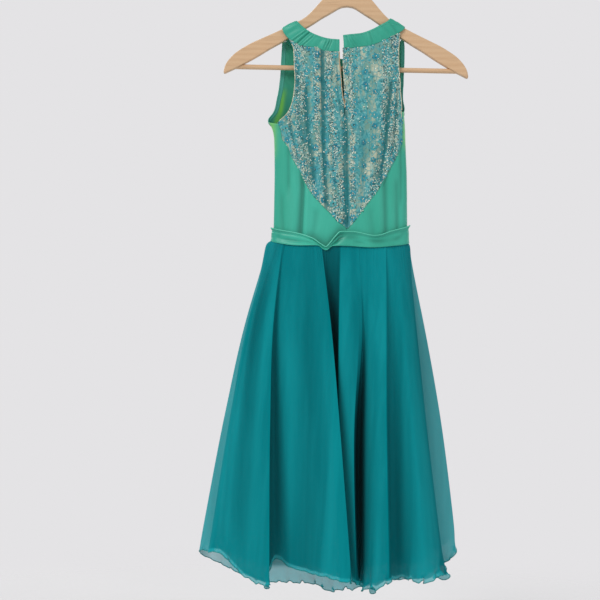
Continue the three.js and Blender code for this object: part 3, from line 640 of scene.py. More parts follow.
m = Mat("hanger_wood", rough=0.42, spec=0.35, coat=0.18)
grainv = m.scaled(0.16, 1.0, 1.0)
rings = m.wave(30, m.scaled(0.10, 1, 1), direction="Z", distort=4.0)
pores = m.noise(420, 4, m.scaled(0.045, 1, 1))
soft = m.noise(12, 4, grainv)
col = m.mix(m.span(rings, 0.1, 0.95, 0.0, 0.30), lin(228, 190, 150), lin(206, 162, 120))
col = m.mix(m.span(soft, 0.3, 0.75, 0.0, 0.6), col, lin(222, 188, 150))
col = m.mix(m.span(pores, 0.52, 0.72, 0.0, 0.35), col, lin(180, 140, 102))
m.color(col)
m.bump(m.math("ADD", pores, m.math("MULTIPLY", rings, 0.4)), 0.18, 0.0003)
M_WOOD = m.m

m = Mat("hook_steel", rough=0.2, spec=0.5, metal=1.0)
m.color(m.mix(m.span(m.noise(300, 3, m.scaled(1, 1, 0.2)), 0.3, 0.7), lin(186, 190, 194), lin(214, 217, 220)))
m.bump(m.noise(700, 2), 0.05, 0.0001)
M_STEEL = m.m

# ------------------------------------------------------------------ hanger: the solids themselves
for node, mat in (("hanger_arms", M_WOOD), ("hanger_bar", M_WOOD), ("hanger_hook", M_STEEL)):
    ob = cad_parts[node]
    ob.data.materials.clear()
    ob.data.materials.append(mat)


def cloth(ob, nodes):
    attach(ob, "root")
    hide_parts(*nodes)


def trim(ob):
    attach(ob, "root")
    return ob


def grid(nu, nv):
    u, v = np.meshgrid(np.linspace(0, 1, nu + 1), np.linspace(0, 1, nv + 1))
    return u, v


# ------------------------------------------------------------------ lace back
LACE_SWELL = Swell(11, 9)


def lace_creases(x, z):
    """Height of the lace over its solid, mm, and how much painted shade each point gets from lying in a crease."""
    def line(*pts):
        return [tuple(float(q) for q in pic(a, b)) for a, b in pts]

    d = 0
    for path, w, depth, soft, lean in (
        (line((322, 50), (322.4, 100), (323, 140), (324.5, 178), (326, 198)), 3.2, 2.4, 34, 0.25),
        (line((298, 76), (299, 110), (303, 140), (307, 172)), 3.2, 1.5, 34, -0.2),
        (line((289.5, 118), (292, 136), (297, 156)), 2.4, 1.5, 18, 0.2),
        (line((305.5, 96), (307, 130), (311, 158), (313, 176)), 4.0, 2.1, 30, 0.1),
        (line((337, 60), (337.5, 84), (340, 110)), 1.8, 1.0, 14, 0.0),
        (line((332, 150), (334, 175), (338, 200)), 3.2, 0.9, 24, 0.0),
        (line((345.2, 108), (346.2, 150), (346.6, 190), (346.8, 222)), 4.2, 2.3, 20, -0.2),
        (line((362, 130), (363, 160), (362, 190)), 4.4, 0.8, 30, 0.2),
        (line((392, 88), (389, 112), (387, 140), (381, 176)), 3.8, 2.1, 28, -0.25),
        (line((397.5, 90), (396, 122), (393, 150)), 2.4, 1.4, 20, 0.1),
        (line((378, 150), (376, 170), (373, 190)), 3.4, 1.2, 20, 0.15),
    ):
        d = d + trough(x, z, path, w, depth, soft, lean)
    # painted shade, stronger in deeper creases
    crease_shade = np.clip(-d / 2.2, 0, 1) ** 0.9
    d = d + 0.7 * LACE_SWELL(x / 17, z / 60) + 0.35 * LACE_SWELL(x / 6 + 3, z / 9)
    return d, crease_shade


def back_patch(map_, nu, nv, fn, side=-1):
    u, v = grid(nu, nv)
    s_, z = map_(u, v)
    P = body(s_, z, side)
    d, crease_shade = fn(P[..., 0], P[..., 2])
    out = -1 if side < 0 else 1
    # fade the height near the edges so that seams stay joined
    e = np.minimum(np.minimum(u, 1 - u) * nu / 5, np.minimum(v, 1 - v) * nv / 5)
    n = normals(P)
    n = np.where((n[..., 1:2] * side) < 0, -n, n)
    P = P + n * (d * np.clip(e, 0.25, 1))[..., None]
    return P, crease_shade


OUT_BACK = -1    # u to the right and v down: u x v points into the dress, so the outside is the other way

laceTopL = [(-106.3, -174.2)] + [(x, z + 0.8) for x, z in COLLAR_BL["outer"][::-1] if -100 < x < -14] + [SLIT_LEFT[0]]
mapL = coons(edge(laceTopL), edge([(1.4, -513.6), (6.6, -518.6)]),
             edge(ARMHOLE_BL + V_LEFT[:-1] + [(1.4, -513.6)]), edge(SLIT_LEFT + CENTRE + [(6.6, -518.6)]))
laceTopR = [SLIT_RIGHT[0]] + [(x, z + 0.8) for x, z in COLLAR_BR["outer"][::-1] if -5 < x < 90] + [(96.6, -159)]
mapR = coons(edge(laceTopR), edge([(7.1, -518.8), (12.4, -513.6)]),
             edge(SLIT_RIGHT + CENTRE + [(7.1, -518.8)]), edge(ARMHOLE_BR + V_RIGHT[:-1] + [(12.4, -513.6)]))
PL, crL = back_patch(mapL, 100, 170, lace_creases)
PR, crR = back_patch(mapR, 96, 170, lace_creases)
lace_l = shell("lace_back_left_cloth", PL, OUT_BACK, 0.8, M_NET, masks={"crease_shade": crL})
lace_r = shell("lace_back_right_cloth", PR, OUT_BACK, 0.8, M_NET, masks={"crease_shade": crR})


def locate(P, cr):
    """Finds a surface point for (x, z): nearest grid vertex with its normal, outside first."""
    n = normals(P)
    n = np.where(n[..., 1:2] > 0, -n, n)
    flat = P.reshape(-1, 3)
    from mathutils.kdtree import KDTree
    t = KDTree(len(flat))
    for i, q in enumerate(flat):
        t.insert((q[0], 0, q[2]), i)
    t.balance()
    nn = n.reshape(-1, 3)
    cc = cr.ravel()

    def f(x, z, reach=1.6):
        _, i, d = t.find((x, 0, z))
        return (flat[i], nn[i], cc[i]) if d < reach else None

    return f


def frame_on(n):
    n = n / np.linalg.norm(n)
    a = np.cross([0, 0, 1.0], n)
    a /= max(np.linalg.norm(a), 1e-6)
    return a, np.cross(n, a), n


# upright bands where the sequins lie thickest: (level, x) down each, and width
GLITTER = []
for w_, pts in (
    (8, ((296, 56), (296.5, 100), (298, 130), (301, 160), (308, 188))),
    (11, ((302, 100), (304, 140), (308, 175), (316, 204), (322, 212))),
    (7, ((289, 112), (292, 140), (297, 168), (304, 190))),
    (13, ((330, 56), (331, 100), (333, 140), (336, 185), (339, 226))),
    (8, ((343.5, 62), (344, 105), (342, 150), (341, 190), (342, 228))),
    (7, ((350, 60), (351.5, 100), (352, 140), (353, 180), (353, 224))),
    (13, ((394, 70), (393, 110), (390, 145), (382, 176), (376, 190))),
    (8, ((385, 90), (384, 130), (379, 165), (369, 200), (357, 222))),
    (6, ((398.5, 50), (399, 90), (397, 130), (396, 150))),
    (6, ((316, 54), (316, 90), (317, 130), (322, 180), (330, 214))),
):
    q = [tuple(float(c) for c in pic(a, b)) for a, b in pts]
    GLITTER.append((sorted((z, x) for x, z in q), w_))


def lace_work(name, P, cr, seed, x0, x1):
    """Raised flowers in half-drop rows, leaves between them and sequins, all laid on the net."""
    find = locate(P, cr)
    r = np.random.default_rng(seed)
    pv, pf, pt, pc = [], [], [], []  # petals
    sv, sf, st = [], [], []          # sequins

    def petal(c_, n, ang, length, width, lift, tone, shade_in_crease):
        a, b, k = frame_on(n)
        d = math.cos(ang) * a + math.sin(ang) * b
        e = -math.sin(ang) * a + math.cos(ang) * b
        base = len(pv)
        for t, w, h in ((0.12, 0.0, 0.15), (0.35, 0.62, 0.7), (0.65, 1.0, 1.0), (0.9, 0.7, 0.75), (1.0, 0.0, 0.2)):
            mid = c_ + d * length * t + k * (0.45 + lift * h)
            if w == 0:
                pv.append(mid)
                pt.append(tone)
            else:
                pv.append(mid - e * width * w / 2 - k * 0.25)
                pv.append(mid + k * 0.12)
                pv.append(mid + e * width * w / 2 - k * 0.25)
                pt.extend([tone - 0.1, tone + 0.1, tone - 0.1])
        pc.extend([shade_in_crease] * (len(pv) - base))
        q = base
        for f in ((0, 2, 1), (0, 3, 2), (1, 2, 5, 4), (2, 3, 6, 5), (4, 5, 8, 7), (5, 6, 9, 8), (7, 8, 10), (8, 9, 10)):
            pf.append([q + i for i in f])

    def disc(c_, n, rad, tone, long=1.0):
        a, b, k = frame_on(n)
        if long > 1:
            w = r.uniform(0, math.pi)
            a, b = (math.cos(w) * a + math.sin(w) * b) * long, math.cos(w) * b - math.sin(w) * a
        base = len(sv)
        for i in range(6):
            w = i * math.pi / 3
            sv.append(c_ + k * 0.9 + rad * (math.cos(w) * a + math.sin(w) * b))
            st.append(tone)
        sf.append([base + i for i in range(6)])

    DX, DZ = 17.5, 21.0
    col = 0
    x = math.floor(x0 / DX) * DX
    while x < x1:
        col = int(round(x / DX))
        z = -150 - (DZ / 2 if col % 2 else 0)
        while z > -525:
            cx, cz = x + r.uniform(-1.6, 1.6), z + r.uniform(-2.2, 2.2)
            hit = find(cx, cz)
            big = r.uniform(0.85, 1.1)
            tone = np.clip(0.38 + 0.22 * r.standard_normal(), 0, 1)
            turn = r.uniform(0, 2 * math.pi)
            if hit is not None:
                cpt, n, shade_in_crease = hit
                if r.random() < 0.16:
                    z -= DZ
                    continue
                big *= 0.9
                for i in range(6):
                    ang = turn + i * math.pi / 3
                    tip = find(cpt[0] + 6.8 * math.cos(ang), cpt[2] + 6.8 * math.sin(ang), 1.3)
                    if tip is not None:
                        petal(cpt, n, ang + r.uniform(-0.12, 0.12), 7.2 * big, 4.6 * big, 0.5, tone + r.uniform(-0.12, 0.12), tip[2])
                for i in range(5):
                    disc(cpt + r.normal(0, 0.9, 3) * [1, 0.2, 1] + n * 0.9, n + r.normal(0, 0.35, 3), r.uniform(0.7, 1.0), r.random())
            # leaves towards the next flower
            for side in (-1, 1):
                lx, lz = cx + side * DX * 0.47, cz - DZ * 0.27
                hit = find(lx, lz)
                if hit is not None and r.random() < 0.55:
                    ang = side * -0.9 + r.uniform(-0.3, 0.3) + (math.pi if side < 0 else 0)
                    for q in (-0.55, 0.0, 0.55):
                        if find(hit[0][0] + 6.2 * math.cos(ang + q), hit[0][2] + 6.2 * math.sin(ang + q), 1.3) is None:
                            continue
                        petal(hit[0], hit[1], ang + q, 5.4 * r.uniform(0.8, 1.2), 2.1, 0.3, 0.3 + 0.6 * r.random(), hit[2])
            z -= DZ
        x += DX
    n_seq = 0
    zmin, zmax = P[..., 2].min(), P[..., 2].max()
    glint = Swell(seed + 5, 9)
    while n_seq < 17500:
        n_seq += 1
        x, z = r.uniform(x0, x1), r.uniform(zmin, zmax)
        chance = 0.05
        for path, w in GLITTER:
            mid = rows_at(path, z)
            chance = max(chance, math.exp(-((x - mid) / (0.6 * w)) ** 2))
        if r.random() > chance * (0.75 + 0.8 * float(glint(x / 6.0, z / 26.0))):
            continue
        hit = find(x, z, 1.2)
        # fewer sequins where the painted crease shade is deep, so it stays dark
        if hit is None or r.random() < hit[2] * 0.85:
            continue
        disc(hit[0], hit[1] + r.normal(0, 0.22, 3), r.uniform(0.55, 0.9), r.random(), r.uniform(1.2, 2.0))
    a = make(name + "_flowers", np.array(pv), pf, M_PETAL)
    paint(a, "tone", np.clip(pt, 0, 1))
    # the petals carry the painted crease shade of the net under their tips
    paint(a, "crease_shade", np.clip(pc, 0, 1))
    b = make(name + "_sequins", np.array(sv), sf, M_SEQUIN, smooth=False)
    paint(b, "tone", np.array(st))
    return trim(a), trim(b)


fl_l = lace_work("lace_left", PL, crL, 21, -124, 8)
fl_r = lace_work("lace_right", PR, crR, 22, -8, 108)


def rim_path(P, which, a, b, lift):
    n = normals(P)
    n = np.where(n[..., 1:2] > 0, -n, n)
    col = {"left": (slice(None), 0), "right": (slice(None), -1), "top": (0, slice(None))}[which]
    p, q = P[col], n[col]
    keep = (p[:, 2] <= max(a, b)) & (p[:, 2] >= min(a, b))
    return (p + q * lift)[keep]


edges = [
    tube("e1", rim_path(PL, "left", -184, -326, 0.3), 0.7, M_CREAM),
    tube("e2", rim_path(PR, "right", -164, -300, 0.3), 0.7, M_CREAM),
    tube("e3", rim_path(PL, "right", -196, -299, 0.2), 0.95, M_FACING),
    tube("e4", rim_path(PR, "left", -190, -299, 0.2), 0.5, M_CREAM),
]
lace_edge = trim(join("lace_edge", edges))

cloth(lace_l, ["lace_back_left"])
cloth(lace_r, ["lace_back_right"])

# ------------------------------------------------------------------ side panels
SIDE_SWELL = Swell(5, 8)


def side_creases(x, z):
    def line(*pts):
        return [tuple(float(q) for q in pic(a, b)) for a, b in pts]

    d = 0
    for path, w, depth, soft, lean in (
        (line((288.3, 148), (288.6, 164), (288.6, 180)), 3.2, 1.5, 44, 0.1),
        (line((302.6, 166), (303, 190), (302, 214), (301, 232)), 3.8, 3.6, 44, -0.2),
        (line((281.8, 200), (282, 214), (283, 232)), 4.2, 1.4, 30, 0.0),
        (line((293.5, 198), (294, 214), (295, 232)), 6.0, 1.1, 34, 0.1),
        (line((316, 214), (315, 224), (313, 234)), 5.5, 1.2, 18, 0.0),
        (line((385, 182), (385.5, 205), (386, 232)), 4.6, 2.3, 36, 0.2),
        (line((397.4, 186), (397.6, 206), (398, 228)), 4.0, 2.0, 32, -0.2),
        (line((401.5, 150), (402, 175), (402, 196)), 2.6, 1.4, 26, 0.0),
        (line((371, 214), (372, 224), (373, 234)), 5.6, 1.0, 20, 0.0),
    ):
        d = d + trough(x, z, path, w, depth, soft, lean)
    # painted shade: how far the satin is darkened in each crease
    crease_shade = np.clip(-d / 3.8, 0, 1) ** 0.9
    # the sash stands off the bodice and shades it, most inside its point
    up = z - rows_at(BELT_TOP, x)
    point = np.clip((x + 70) / 16, 0, 1) * np.clip((10 - x) / 14, 0, 1)
    crease_shade = np.maximum(crease_shade, np.clip(0.38 + 0.5 * point, 0, 1) * np.exp(-(np.maximum(up, 0) / (5 + 11 * point)) ** 1.3))
    # small pleats at the underarm
    for k, (px, py) in enumerate(((272.5, 125), (275, 127.5), (278, 129))):
        cx, cz = pic(px, py, -6)
        d = d - 0.9 * np.exp(-(((x - cx) + (z - cz) * 0.3) / 1.6) ** 2) * np.exp(-((z - cz) / 7.0) ** 2)
    d = d + 0.8 * SIDE_SWELL(x / 26, z / 55)
    return d, crease_shade


def waist(x, side=-1):
    return rows_at(WAIST if side < 0 else WAIST_F, x)


def waist_row(x0, x1, n, side=-1, up=0.0):
    xs = np.linspace(x0, x1, n + 1)
    return [(float(x), float(waist(x, side)) + up) for x in xs]


CB = 6.9
DROP = -3.0       # the look's bodice reaches a little lower, behind the sash
mapSL = coons(edge([(LEFT, -326), (-130, -328.6), (-122.1, -329.6)]), edge([(LEFT, -538 + DROP)] + waist_row(-112, CB, 14, up=DROP)),
              edge([(LEFT, -326), (LEFT, -430), (LEFT, -538 + DROP)]),
              edge([(-122.1, -329.6)] + V_LEFT[1:] + [(CB, -519.8), (CB, float(waist(CB)) + DROP)]))
mapSR = coons(edge([(103.4, -302.4), (105.6, -302), (RIGHT, -301.8)]), edge(waist_row(CB, 104, 12, up=DROP) + [(RIGHT, -536 + DROP)]),
              edge([(103.4, -302.4)] + V_RIGHT[1:] + [(CB, -520), (CB, float(waist(CB)) + DROP)]),
              edge([(RIGHT, -301.8), (RIGHT, -420), (RIGHT, -536 + DROP)]))


def lime_mask(P):
    x, z = P[..., 0], P[..., 2]
    a = np.exp(-((x + 133) / 9.0) ** 2) * window(z, -332, -372, 34) * 0.95
    b = np.exp(-((x - 110) / 6.0) ** 2) * window(z, -302, -350, 30) * 0.8
    return np.clip(a + b, 0, 1)


PSL, crSL = back_patch(mapSL, 84, 120, side_creases)
PSR, crSR = back_patch(mapSR, 78, 120, side_creases)
side_l = shell("side_back_left_cloth", PSL, OUT_BACK, 0.9, M_SATIN, masks={"crease_shade": crSL, "lime": lime_mask(PSL)})
side_r = shell("side_back_right_cloth", PSR, OUT_BACK, 0.9, M_SATIN, masks={"crease_shade": crSR, "lime": lime_mask(PSR)})
seams = [
    tube("v1", rim_path(PSL, "right", -331, -519, 0.55), 0.55, M_THREAD, 6),
    tube("v2", rim_path(PSR, "left", -304, -519, 0.55), 0.55, M_THREAD, 6),
]
v_seam = trim(join("v_seam", seams))
cloth(side_l, ["side_back_left"])
cloth(side_r, ["side_back_right"])

# ------------------------------------------------------------------ front
FRONT_SWELL = Swell(17, 9)


def front_creases(x, z):
    d = 0
    for path, w, depth, soft, lean in (
        ([(-82, -300), (-80, -380), (-72, -470)], 8, 1.7, 90, 0.2),
        ([(-34, -380), (-30, -450), (-25, -530)], 9, 1.6, 80, -0.2),
        ([(20, -400), (26, -470), (27, -530)], 7, 1.5, 80, 0.1),
        ([(62, -330), (70, -420), (72, -500)], 6, 2.0, 90, -0.2),
        ([(-104, -400), (-102, -460), (-98, -525)], 6, 1.8, 60, 0.2),
        ([(94, -420), (95, -470), (92, -525)], 6, 1.4, 60, 0.2),
    ):
        d = d + trough(x, z, path, w, depth, soft, lean)
    # painted shade: how far the satin is darkened in each crease
    crease_shade = np.clip(-d / 5.5, 0, 1)
    d = d + 1.6 * FRONT_SWELL(x / 34, z / 90)
    # slanting wrinkles beside the armholes, seen from inside
    d = d + 0.5 * np.sin((x * 0.8 + z) / 3.2) * np.exp(-((x + 108) / 10) ** 2) * window(z, -190, -260, 20)
    return d, crease_shade


topF = [(-112.4, -173.6)] + [(x, z + 0.8) for x, z in COLLAR_F["outer"][::-1] if -106 < x < 96] + [(98.6, -170.8)]
mapF = coons(edge(topF), edge([(LEFT, -538 + DROP)] + waist_row(-118, 110, 14, 1, DROP) + [(RIGHT, -536 + DROP)]),
             edge([(-112.4, -173.6)] + BAND_FL[1:] + [(LEFT, -440), (LEFT, -538 + DROP)]), edge(BAND_FR + [(RIGHT, -420), (RIGHT, -536 + DROP)]))
PF, crF = back_patch(mapF, 120, 140, front_creases, side=1)


def front_lime(P):
    x, z = P[..., 0], P[..., 2]
    path = np.interp(z, [-325, -300, -262], [-125, -118, -112])
    a = np.exp(-((x - path) / 5.2) ** 2) * window(z, -274, -326, 18)
    return np.clip(a * (0.9 + 0.25 * FRONT_SWELL(x / 4, z / 14)), 0, 1)


front = shell("bodice_front_cloth", PF, 1, 0.9, M_FRONT, masks={"crease_shade": crF, "lime": front_lime(PF)}, inside=("lime",))
cloth(front, ["bodice_front"])


def strip(rows, inner, nu, nv, side, lift=0.0, bulge=0.0):
    a, b = edge(rows), edge(inner)
    u, v = grid(nu, nv)
    p, q = a(v), b(v)
    P = body(p[0] + u * (q[0] - p[0]), p[1] + u * (q[1] - p[1]), side)
    n = normals(P)
    n = np.where((n[..., 1:2] * side) < 0, -n, n)
    return P + n * (lift + bulge * np.sin(math.pi * u))[..., None]


PBL = strip(ARMHOLE_FL, BAND_FL, 8, 110, 1, 0.0, 0.5)
PBR = strip(ARMHOLE_FR, BAND_FR, 8, 110, 1, 0.0, 0.5)
zero = lambda P: np.zeros(P.shape[:2])
band_l = shell("armhole_band_left_cloth", PBL, 1, 1.8, M_BAND, masks={"crease_shade": zero(PBL)})
band_r = shell("armhole_band_right_cloth", PBR, -1, 1.8, M_BAND, masks={"crease_shade": zero(PBR)})
cloth(band_l, ["armhole_band_left"])
cloth(band_r, ["armhole_band_right"])

# ------------------------------------------------------------------ collar


def collar(name, t, side, nu, nv, gathers, seed, out):
    """Gathered band. gathers: [(where 0..1 along it, width mm, depth mm, reach across 0..1, slant)]."""
    a, b = edge(t["inner"]), edge(t["outer"])
    u, v = grid(nu, nv)
    p, q = a(u), b(u)
    s_, z = p[0] + v * (q[0] - p[0]), p[1] + v * (q[1] - p[1])
    x = body(s_, z, side)[..., 0]
    z = np.minimum(z, ridge(x) - 0.003)
    P = body(s_, z, side)
    n = np.gradient(P, axis=1)
    n = np.cross(n, np.gradient(P, axis=0))
    n /= np.maximum(np.linalg.norm(n, axis=2, keepdims=True), 1e-9)
    n = np.where((n[..., 1:2] * side) + 0.6 * n[..., 2:3] < 0, -n, n)
    mid = P[nv // 2]
    arc = np.concatenate([[0], np.cumsum(np.linalg.norm(np.diff(mid, axis=0), axis=1))])
    L = arc[-1]
    A = arc[None, :] + 0 * v
    r = np.random.default_rng(seed)
    d = 1.5 * np.sin(math.pi * np.clip(v, 0.02, 0.98)) ** 0.6
    crease_shade = 0 * v
    for at, w, depth, reach, slant in gathers:
        q_ = (A - at * L - slant * (v - 0.5) * 10) / w
        g = np.exp(-q_ * q_) - 0.4 * np.exp(-((np.abs(q_) - 1.8) ** 2) / 0.7)
        side_f = window(v, 1 - reach, 1.0, 0.25) if reach > 0 else window(v, 0.0, -reach, 0.25)
        d = d - depth * g * side_f
        # painted shade in the gathers, darker for deeper gathers
        crease_shade = np.maximum(crease_shade, np.clip(np.exp(-q_ * q_) * side_f * depth / 2.1, 0, 1))
    sw = Swell(seed, 8)
    d = d + 0.35 * sw(A / 6, v * 2) + 0.18 * sw(A / 1.9, v * 1.2) * np.sin(math.pi * v)
    fade = np.clip(np.minimum(u, 1 - u) * nu / 6, 0.15, 1)
    P = P + n * (d * fade)[..., None]
    ob = shell(name, P, out, 1.0, None, masks={"crease_shade": crease_shade * 0.8})
    ob.data.materials.append(M_COLLAR)
    return ob, P, n, L


g_left = [(0.06, 2.4, 0.7, 0.8, 0.0), (0.15, 1.6, 1.3, 0.8, 0.3), (0.185, 1.7, 1.6, 0.75, 0.2), (0.225, 1.6, 1.1, 0.7, 0.0), (0.33, 4.2, 0.6, 0.6, 0.3),
          (0.50, 1.6, 1.0, 0.75, 0.5), (0.60, 1.7, 1.7, 0.95, 0.2), (0.665, 1.5, 1.2, 0.8, 0.3), (0.80, 3.6, 0.5, 0.6, 0.2), (0.92, 1.6, 0.9, 0.8, -0.3)]
g_right = [(0.84, 1.7, 0.9, 0.6, -0.8), (0.885, 1.5, 0.8, 0.55, -1.0), (0.07, 1.5, 1.0, -0.5, 1.6), (0.11, 1.4, 0.9, 0.6, -1.4), (0.18, 2.2, 0.9, 0.7, 1.0), (0.30, 2.6, 0.6, -0.7, 0.6), (0.42, 3.4, 0.5, 0.6, 0.3),
           (0.56, 1.9, 1.0, 0.75, 0.9), (0.66, 3.4, 0.5, 0.6, -0.2), (0.80, 3.0, 0.5, -0.8, -0.6), (0.93, 2.0, 0.7, 0.8, -0.2)]
g_front = [(q + 0.012 * math.sin(q * 71), 2.2 + 0.9 * math.sin(q * 40), 0.8 + 0.5 * math.sin(q * 57), 0.75, 0.5 * math.sin(q * 23)) for q in np.linspace(0.07, 0.93, 15)]
col_l, PCL, nCL, _ = collar("collar_back_left_cloth", COLLAR_BL, -1, 210, 18, g_left, 31, 1)
col_r, PCR, nCR, _ = collar("collar_back_right_cloth", COLLAR_BR, -1, 220, 18, g_right, 32, 1)
col_f, PCF, nCF, _ = collar("collar_front_cloth", COLLAR_F, 1, 320, 16, g_front, 33, 1)


def stitches(name, path, n, mat, length=1.6, rad=0.22, gap=3.0):
    """Short threads laid end to end along a path."""
    p = np.asarray(path)
    arc = np.concatenate([[0], np.cumsum(np.linalg.norm(np.diff(p, axis=0), axis=1))])
    obs = []
    verts, faces = [], []
    for a in np.arange(gap / 2, arc[-1] - length, gap):
        q = np.stack([np.interp([a, a + length / 2, a + length], arc, p[:, j]) for j in range(3)], 1)
        nn = np.stack([np.interp([a, a + length / 2, a + length], arc, n[:, j]) for j in range(3)], 1)
        q = q + nn * np.array([[0.05], [0.4], [0.05]])
        t = q[2] - q[0]
        t /= np.linalg.norm(t)
        e = np.cross(t, nn[1])
        e /= max(np.linalg.norm(e), 1e-6)
        base = len(verts)
        for i in range(3):
            for w in range(5):
                ang = w * 2 * math.pi / 5
                verts.append(q[i] + rad * (math.cos(ang) * e + math.sin(ang) * nn[1]))
        for i in range(2):
            for w in range(5):
                faces.append([base + i * 5 + w, base + i * 5 + (w + 1) % 5, base + (i + 1) * 5 + (w + 1) % 5, base + (i + 1) * 5 + w])
    return make(name, np.array(verts), faces, mat)


st_obs = [
    stitches("s1", PCL[2] + nCL[2] * 0.5, nCL[2], M_THREAD),
    stitches("s2", PCR[2] + nCR[2] * 0.5, nCR[2], M_THREAD),
    stitches("s3", PCF[2] + nCF[2] * 0.5, nCF[2], M_THREAD),
]
collar_st = trim(join("collar_stitches", st_obs))
cloth(col_l, ["collar_back_left"])
cloth(col_r, ["collar_back_right"])
cloth(col_f, ["collar_front"])

# ------------------------------------------------------------------ sash


def sash(name, top, low, side, nu, nv, bumps, seed, out):
    qt, ql = np.array([to_s(r) for r in top]), np.array([to_s(r) for r in low])
    n = len(qt) - 1
    step = through(np.linspace(0, 1, n + 1), qt[:, 0])
    a, b = through(qt[:, 0], qt[:, 1]), through(ql[:, 0], ql[:, 1])
    u, v = grid(nu, nv)
    s_ = step(u)
    zt, zb = a(s_), b(s_)
    P = body(s_, zt + v * (zb - zt), side)
    nn = normals(P)
    nn = np.where((nn[..., 1:2] * side) + 1e-4 < 0, -nn, nn)
    # near the seams the surface turns to the side
    turn = np.clip((np.abs(s_) - 0.9) / 0.1, 0, 1)[..., None]
    nn[..., 0:1] = np.where(turn > 0.5, np.sign(s_)[..., None] * np.abs(nn[..., 0:1]), nn[..., 0:1])
    x = P[..., 0]
    d = 3.0 + 1.9 * np.exp(-(v / 0.10) ** 2) - 0.9 * np.exp(-((v - 0.22) / 0.09) ** 2) + 0.9 * np.exp(-((1 - v) / 0.16) ** 2)
    crease_shade = 0 * v
    if side < 0:                           # the turned-over point casts the cloth below its edge in shade
        near = np.clip((x + 66) / 10, 0, 1) * np.clip((4 - x) / 6, 0, 1)
        arm = np.clip((x + 24) / 4, 0, 1) * np.clip((6 - x) / 8, 0, 1)
        crease_shade = np.maximum(crease_shade, arm * 0.7 * np.exp(-((v - 0.2) / 0.12) ** 2))
        d = d - near * 1.0 * np.exp(-((v - 0.17) / 0.07) ** 2) + near * 1.2 * np.exp(-(v / 0.07) ** 2)
    for x0, v0, wx, wv, depth, slope in bumps:
        q = np.exp(-(((x - x0) - slope * (v - v0) * 20) / wx) ** 2 - ((v - v0) / wv) ** 2)
        d = d - depth * q
        # painted shade in the dents of the sash
        crease_shade = np.maximum(crease_shade, np.clip(depth * q / 3.2, 0, 1))
    sw = Swell(seed, 8)
    d = d + 0.55 * sw(x / 22, v * 1.6) + 0.2 * sw(x / 7, v * 2)
    P = P + nn * d[..., None]
    ob = shell(name, P, out, 1.6, M_SASH, masks={"crease_shade": crease_shade})
    return ob, P, nn


b_bumps = [
    (62, 0.52, 19, 0.24, 2.0, 1.9), (74, 0.32, 14, 0.2, 0.5, 2.2), (-9, 0.60, 7.5, 0.34, 3.4, -1.5), (14, 0.38, 16, 0.24, 1.8, -0.6),
    (-40, 0.45, 6, 0.3, 1.4, 1.2), (28, 0.72, 12, 0.16, 1.2, 0.8), (-88, 0.66, 24, 0.16, 1.8, 0.9), (-62, 0.72, 10, 0.2, 1.2, 1.4),
    (98, 0.6, 10, 0.18, 1.4, -1.0), (-115, 0.5, 5, 0.35, 1.2, 0.0), (108, 0.35, 5, 0.2, 0.9, 0.0),
]
f_bumps = [(-70, 0.6, 22, 0.2, 1.6, 1.0), (0, 0.55, 26, 0.2, 1.8, -1.0), (66, 0.6, 20, 0.2, 1.6, 1.0)]
belt_b, PB, nB = sash("belt_back_cloth", BELT_TOP, BELT_LOW, -1, 320, 20, b_bumps, 41, -1)
belt_f, PBF, nBF = sash("belt_front_cloth", BELT_F_TOP, BELT_F_LOW, 1, 220, 16, f_bumps, 42, 1)
belt_edge = trim(join("sash_edges", [
    # b1, the rolled top edge, wears the painted highlight satin
    tube("b1", PB[0] + nB[0] * 0.7, 1.0, M_SASH_EDGE_HIGHLIGHT, 8), tube("b2", PB[-1] + nB[-1] * 0.1, 0.9, M_SASH, 8),
    tube("b3", PBF[0] + nBF[0] * 0.1, 1.1, M_SASH, 8), tube("b4", PBF[-1] + nBF[-1] * 0.1, 0.9, M_SASH, 8),
]))
paint(belt_edge, "crease_shade", np.zeros(len(belt_edge.data.vertices)))
cloth(belt_b, ["belt_back"])
cloth(belt_f, ["belt_front"])

# ------------------------------------------------------------------ skirt


def down(v, a0, a1, a2, a3):
    """Soft curve down the skirt through the four rows of the tables."""
    k, a = DOWN, [a0, a1, a2, a3]
    h = [k[i + 1] - k[i] for i in range(3)]
    d = [(a[i + 1] - a[i]) / h[i] for i in range(3)]
    g = [d[0], (d[0] * h[1] + d[1] * h[0]) / (h[0] + h[1]), (d[1] * h[2] + d[2] * h[1]) / (h[1] + h[2]), d[2]]
    out = 0
    for i in range(3):
        q = np.clip((v - k[i]) / h[i], 0, 1)
        f = ((2 * q**3 - 3 * q**2 + 1) * a[i] + (q**3 - 2 * q**2 + q) * h[i] * g[i]
             + (-2 * q**3 + 3 * q**2) * a[i + 1] + (q**3 - q**2) * h[i] * g[i + 1])
        inside = (v >= k[i]) & ((v < k[i + 1]) | (i == 2))
        out = out + np.where(inside, f, 0)
    return out


